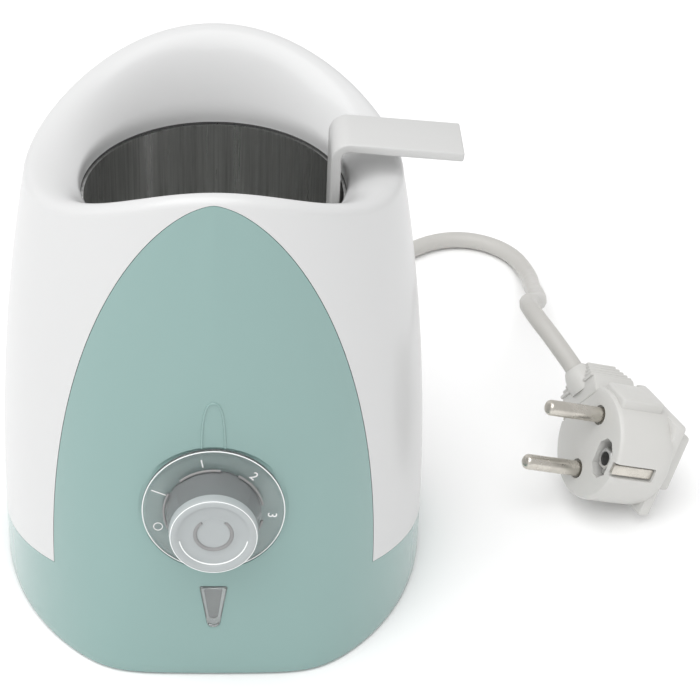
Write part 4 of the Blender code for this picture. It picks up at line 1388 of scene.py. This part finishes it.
# %% Plug frame
PLUG_FACE = Vector((0.1142, 0.0163, 0.0240))
PIN_DIRECTION = Vector((-0.904, -0.243, 0.351)).normalized()
PIN_SPREAD = Vector((0.303, 0.211, 0.929))
PLUG_RADIUS = 0.0175
PIN_RADIUS = 0.0024
PIN_LENGTH = 0.0190
PIN_OFFSET = 0.0095
EARTH_OFFSET = 0.0098
side_direction = PIN_SPREAD.cross(PIN_DIRECTION).normalized()
spread_direction = PIN_DIRECTION.cross(side_direction)
turn = Matrix((PIN_DIRECTION, side_direction, spread_direction)).transposed()
PLUG = Matrix.Translation(PLUG_FACE) @ turn.to_4x4()
ALONG_PINS = Matrix.Rotation(math.pi / 2, 4, "Y")
BOOT = PLUG @ Matrix.Translation((-0.0060, 0, 0)) @ Matrix.Rotation(math.radians(55), 4, "X")
print("plug side points to", tuple(round(value, 2) for value in side_direction))


def plug_drum(name, radius, back, front, place):
    """A cylinder along the pins at a (Y, Z) place."""
    return drum(name, radius, back, front, 48, Matrix.Translation((0, *place)) @ ALONG_PINS)


# %% [markdown]
# The body is turned round the pins' direction. A pad and a shoulder are joined on, and then the pocket of the
# earth contact, the seats of the pins and the grooves for the side strips are cut.

# %% Plug body
body_profile = [
    (0.0150, -0.0200),
    (0.0162, -0.0198),
    (0.0170, -0.0188),
    (0.0174, -0.0165),
    (0.0175, -0.0120),
    (0.0175, -0.0016),
    (0.0173, -0.0008),
    (0.0168, -0.0002),
    (0.0160, 0.0000),
    (0.0145, 0.0000),
]
plug_body = turned("plug_shell", body_profile, 128, ALONG_PINS)
pad = block("plug_pad", (0.0150, 0.0115, 0.0050), (-0.0088, 0.0012, 0.0166), 0.0009, 3)
boolean(plug_body, pad, "UNION")
shoulder = block("plug_shoulder", (0.0040, 0.0276, 0.0318), (-0.0200, 0, 0), 0.0012, 2)
boolean(plug_body, shoulder, "UNION")
pocket = block("socket_pocket", (0.0100, 0.0078, 0.0124), (-0.0020, EARTH_OFFSET, 0), 0)
activate(pocket)
bpy.ops.object.mode_set(mode="EDIT")
bm = bmesh.from_edit_mesh(pocket.data)
for edge in bm.edges:
    a, b = (vertex.co for vertex in edge.verts)
    edge.select = abs(a.y - b.y) < 1e-7 and abs(a.z - b.z) < 1e-7
bmesh.update_edit_mesh(pocket.data)
bpy.ops.mesh.bevel(offset=0.0026, segments=1, affect="EDGES")
bpy.ops.object.mode_set(mode="OBJECT")
boolean(plug_body, pocket, "DIFFERENCE")
for side in (1, -1):
    boolean(plug_body, plug_drum("pin_seat", 0.0031, -0.0012, 0.004, (0, side * PIN_OFFSET)), "DIFFERENCE")
    boolean(plug_body, plug_drum("pin_hole", 0.0027, -0.008, 0.004, (0, side * PIN_OFFSET)), "DIFFERENCE")
    groove_place = (-0.0066, side * (PLUG_RADIUS + 0.0002), 0)
    groove = block("clip_groove", (0.0160, 0.0044, 0.0046), groove_place, 0.0004, 2)
    boolean(plug_body, groove, "DIFFERENCE")
smooth(plug_body, 33)
settle(plug_body, PLUG)
finish_piece(plug_body, "housing", plug_finish, ["plug_body"])
print("plug shell", len(plug_body.data.polygons), "faces")

# %% [markdown]
# The pins are plated rods with round ends. In the pocket a near-black floor and a metal block with its
# hole make the earth socket, and two sprung strips lie in the side grooves. The near-black floor, and a
# near-black disc at the bottom of the socket's hole, are painted shade for these deep recesses.

# %% Pins, socket and strips
pin_profile = [(0.0018, -0.0075), (PIN_RADIUS, -0.0070), (PIN_RADIUS, PIN_LENGTH - 0.0016)]
for step in range(1, 7):
    angle = math.pi / 2 * step / 6
    radius = PIN_RADIUS - 0.0016 + 0.0016 * math.cos(angle)
    pin_profile.append((radius, PIN_LENGTH - 0.0016 + 0.0016 * math.sin(angle)))
pin_profile.append((0.0003, PIN_LENGTH))
for number, side in ((1, 1), (2, -1)):
    place = Matrix.Translation((0, 0, side * PIN_OFFSET)) @ ALONG_PINS
    pin = turned(f"contact_pin_{number}", pin_profile, 48, PLUG @ place)
    finish_piece(pin, "housing", nickel_finish, [f"plug_pin_{number}"])
    strip_place = (-0.0072, side * (PLUG_RADIUS - 0.0013), 0)
    contact = block(f"earth_strip_{number}", (0.0142, 0.0010, 0.0033), strip_place, 0.0003, 2, PLUG)
    finish_piece(contact, "housing", nickel_finish, [f"plug_earth_clip_{number}"])
# Painted shade: a near-black plate on the pocket's floor stands in for the shade in the recess.
floor = block("pocket_floor_shade", (0.0006, 0.0076, 0.0122), (-0.0064, EARTH_OFFSET, 0), 0.0001, 2, PLUG)
finish_piece(floor, "housing", painted_socket_shade)
socket_profile = [(0.0034, -0.0060), (0.0036, -0.0056), (0.0036, -0.0014), (0.0033, -0.0010)]
socket = turned("earth_socket", socket_profile, 6, Matrix.Translation((0, EARTH_OFFSET, 0)) @ ALONG_PINS)
ears = block("socket_ears", (0.0030, 0.0030, 0.0106), (-0.0040, EARTH_OFFSET, 0), 0.0005, 2)
boolean(socket, ears, "UNION")
boolean(socket, plug_drum("socket_bore", 0.0022, -0.0054, 0.004, (EARTH_OFFSET, 0)), "DIFFERENCE")
smooth(socket, 30)
settle(socket, PLUG)
finish_piece(socket, "housing", bolt_finish, ["plug_earth_socket"])
# Painted shade: a near-black disc at the bottom of the socket's hole stands in for the shade in it.
bore = plug_drum("socket_bore_shade", 0.0021, -0.0053, -0.0050, (EARTH_OFFSET, 0))
settle(bore, PLUG)
finish_piece(bore, "housing", painted_socket_shade)
print("earth socket", len(socket.data.polygons), "faces")

# %% [markdown]
# The boot is a stack of thin ribs that narrow towards the lead, so that it bends without a kink, and it
# ends in a short cone. Behind the body a fin gives the fingers something to pull.

# %% Boot and grip
boot_bottom = PLUG_RADIUS + 0.0002
boot = block("plug_boot_ribs", (0.0150, 0.0180, 0.0060), (-0.0010, 0, boot_bottom - 0.0016), 0.0008, 2)
for number in range(5):
    size = (0.0150 - 0.0011 * number, 0.0176 - 0.0019 * number, 0.0011)
    rib = block("boot_rib", size, (-0.0004, 0, boot_bottom + 0.0014 + 0.0014 * number), 0.0004, 2)
    boolean(boot, rib, "UNION")
    waist = (size[0] - 0.0018, size[1] - 0.0020, 0.0012)
    core = block("boot_core", waist, (-0.0004, 0, boot_bottom + 0.0009 + 0.0014 * number), 0.0003, 2)
    boolean(boot, core, "UNION")
neck_place = Matrix.Translation((0.0050, 0, boot_bottom + 0.0045)) @ Matrix.Rotation(math.radians(30), 4, "Y")
neck_profile = [(0.0052, -0.0040), (0.0050, -0.0010), (0.0044, 0.0012), (0.0036, 0.0028), (0.0031, 0.0034)]
neck = turned("boot_neck", neck_profile, 48, neck_place)
boolean(boot, neck, "UNION")
smooth(boot, 30)
settle(boot, BOOT)
finish_piece(boot, "housing", plug_finish, ["plug_boot"])
fin = block("plug_fin", (0.0074, 0.0210, 0.0190), (-0.0236, 0, 0.0016), 0)
activate(fin)
bpy.ops.object.mode_set(mode="EDIT")
bm = bmesh.from_edit_mesh(fin.data)
for face in bm.faces:
    face.select = face.normal.x < -0.9
bmesh.update_edit_mesh(fin.data)
bpy.ops.transform.resize(value=(1, 0.42, 0.92), center_override=(-0.0273, 0, 0.0016))
bpy.ops.object.mode_set(mode="OBJECT")
bevel(fin, 0.0012, 4, 30)
apply_modifiers(fin)
smooth(fin, 40)
settle(fin, PLUG)
finish_piece(fin, "housing", plug_finish, ["plug_grip"])
print("boot and fin made")

# %% [markdown]
# ## Everything else
# The bush and the pieces inside and under the housing have the right shape already. They keep their
# meshes, and each gets its own finish. Only the bush is made again, with the grooves that let it bend.

# %% Bush and carried-over nodes
bush_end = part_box("cord_bush")[1].y
bush_profile = [
    (0.0033, bush_end),
    (0.0038, bush_end),
    (0.0041, bush_end - 0.0007),
    (0.0043, bush_end - 0.0040),
    (0.0040, bush_end - 0.0046),
    (0.0040, bush_end - 0.0056),
    (0.0046, bush_end - 0.0062),
    (0.0048, bush_end - 0.0100),
    (0.0044, bush_end - 0.0106),
    (0.0044, bush_end - 0.0116),
    (0.0051, bush_end - 0.0122),
    (0.0053, bush_end - 0.0170),
    (0.0056, 0.0630),
    (0.0070, 0.0624),
    (0.0070, 0.0613),
    (0.0056, 0.0613),
    (0.0056, 0.0584),
    (0.0069, 0.0584),
    (0.0069, 0.0566),
    (0.0033, 0.0566),
]
TO_BACK = Matrix.Translation((0, 0, EXIT_HEIGHT)) @ BACKWARDS
bush = turned("lead_bush", bush_profile, 48)
boolean(bush, drum("bush_bore", 0.0031, 0.05, 0.10, 48), "DIFFERENCE")
smooth(bush, 30)
settle(bush, TO_BACK)
finish_piece(bush, "housing", bush_finish, ["cord_bush"])

carried = {
    grey_finish: ["base_plate", "thermostat_body"],
    rubber_finish: [f"rubber_foot_{number}" for number in (1, 2, 3, 4)] + ["well_gasket"],
    bolt_finish: [f"base_screw_{number}" for number in (1, 2, 3, 4)]
    + ["heater_clamp", "heater_nut", "fuse_clip", "thermostat_nut", "thermostat_spindle"],
    aluminium_finish: ["heater_plate", "thermal_fuse", "temperature_sensor"],
    element_finish: ["heating_element"],
    lifter_finish: ["lamp_holder", "terminal_block", "cord_clamp"],
    lamp_glass_finish: ["neon_lamp"],
    wire_finish: ["live_lead", "neutral_lead", "earth_lead", "lamp_lead"],
    sheath_finish: ["cord_tail"],
}
for material, names in carried.items():
    for name in names:
        mesh = nodes[name].data
        mesh.materials.clear()
        mesh.materials.append(material)
print(sum(len(names) for names in carried.values()), "nodes carried over")

# %% [markdown]
# Every piece that belongs to the lead, from the bush to the plug's smallest part, is gathered in one list.

on_the_lead = [plug_body, boot, fin, bush, tie, socket, floor, bore]
for name in ("contact_pin", "earth_strip"):
    on_the_lead += [bpy.data.objects[f"{name}_{number}"] for number in (1, 2)]
print(len(on_the_lead), "pieces belong to the lead")

# %% [markdown]
# ## Floor and light
# The object stands on a plain pale floor under soft studio light: a broad softbox overhead, a weak one
# from the left, and a white room around, a little darker on the right, that fills every shadow.

# %% Floor
PAPER_WHITE = 0.985
deselect()
bpy.ops.mesh.primitive_plane_add(size=8, location=(0, 0, -0.0001))
ground = bpy.context.object
ground.name = "studio_floor"
paper = bpy.data.materials.new("studio_paper")
paper.use_nodes = True
paper_shader = paper.node_tree.nodes["Principled BSDF"]
paper_shader.inputs["Base Color"].default_value = (PAPER_WHITE, PAPER_WHITE, PAPER_WHITE, 1)
paper_shader.inputs["Roughness"].default_value = 0.9
paper_shader.inputs["Specular IOR Level"].default_value = 0.1
ground.data.materials.append(paper)

# %% [markdown]
# The white room gives most of the light. It is a little brighter on the left than on the right, which
# models the round sides softly, and the two softboxes add the faint highlights and the shadow.

# %% Lights
scene.view_settings.view_transform = "Standard"
world = bpy.data.worlds.new("white_room")
world.use_nodes = True
sky = world.node_tree
sky.nodes["Background"].inputs["Strength"].default_value = 0.88
direction = add_node(sky, "ShaderNodeSeparateXYZ")
sky.links.new(add_node(sky, "ShaderNodeTexCoord").outputs["Generated"], direction.inputs[0])
side_to_side = add_node(sky, "ShaderNodeMapRange", clamp=True)
side_to_side.inputs["From Min"].default_value = -0.8
side_to_side.inputs["From Max"].default_value = 0.8
side_to_side.inputs["To Min"].default_value = 1.02
side_to_side.inputs["To Max"].default_value = 0.82
sky.links.new(direction.outputs["X"], side_to_side.inputs["Value"])
sky.links.new(side_to_side.outputs["Result"], sky.nodes["Background"].inputs["Color"])
scene.world = world


def softbox(name, place, size, watts):
    """An area light that faces the middle of the object."""
    data = bpy.data.lights.new(name, "AREA")
    data.shape = "RECTANGLE"
    data.size, data.size_y = size
    data.energy = watts
    light = bpy.data.objects.new(name, data)
    scene.collection.objects.link(light)
    light.location = place
    light.rotation_euler = (VIEW_TARGET - Vector(place)).to_track_quat("-Z", "Y").to_euler()


softbox("overhead", (-0.20, -0.36, 1.05), (1.2, 1.0), 8.2)
softbox("left_side", (-0.9, -0.5, 0.7), (0.8, 0.9), 0.4)
print("lights:", len(bpy.data.lights))
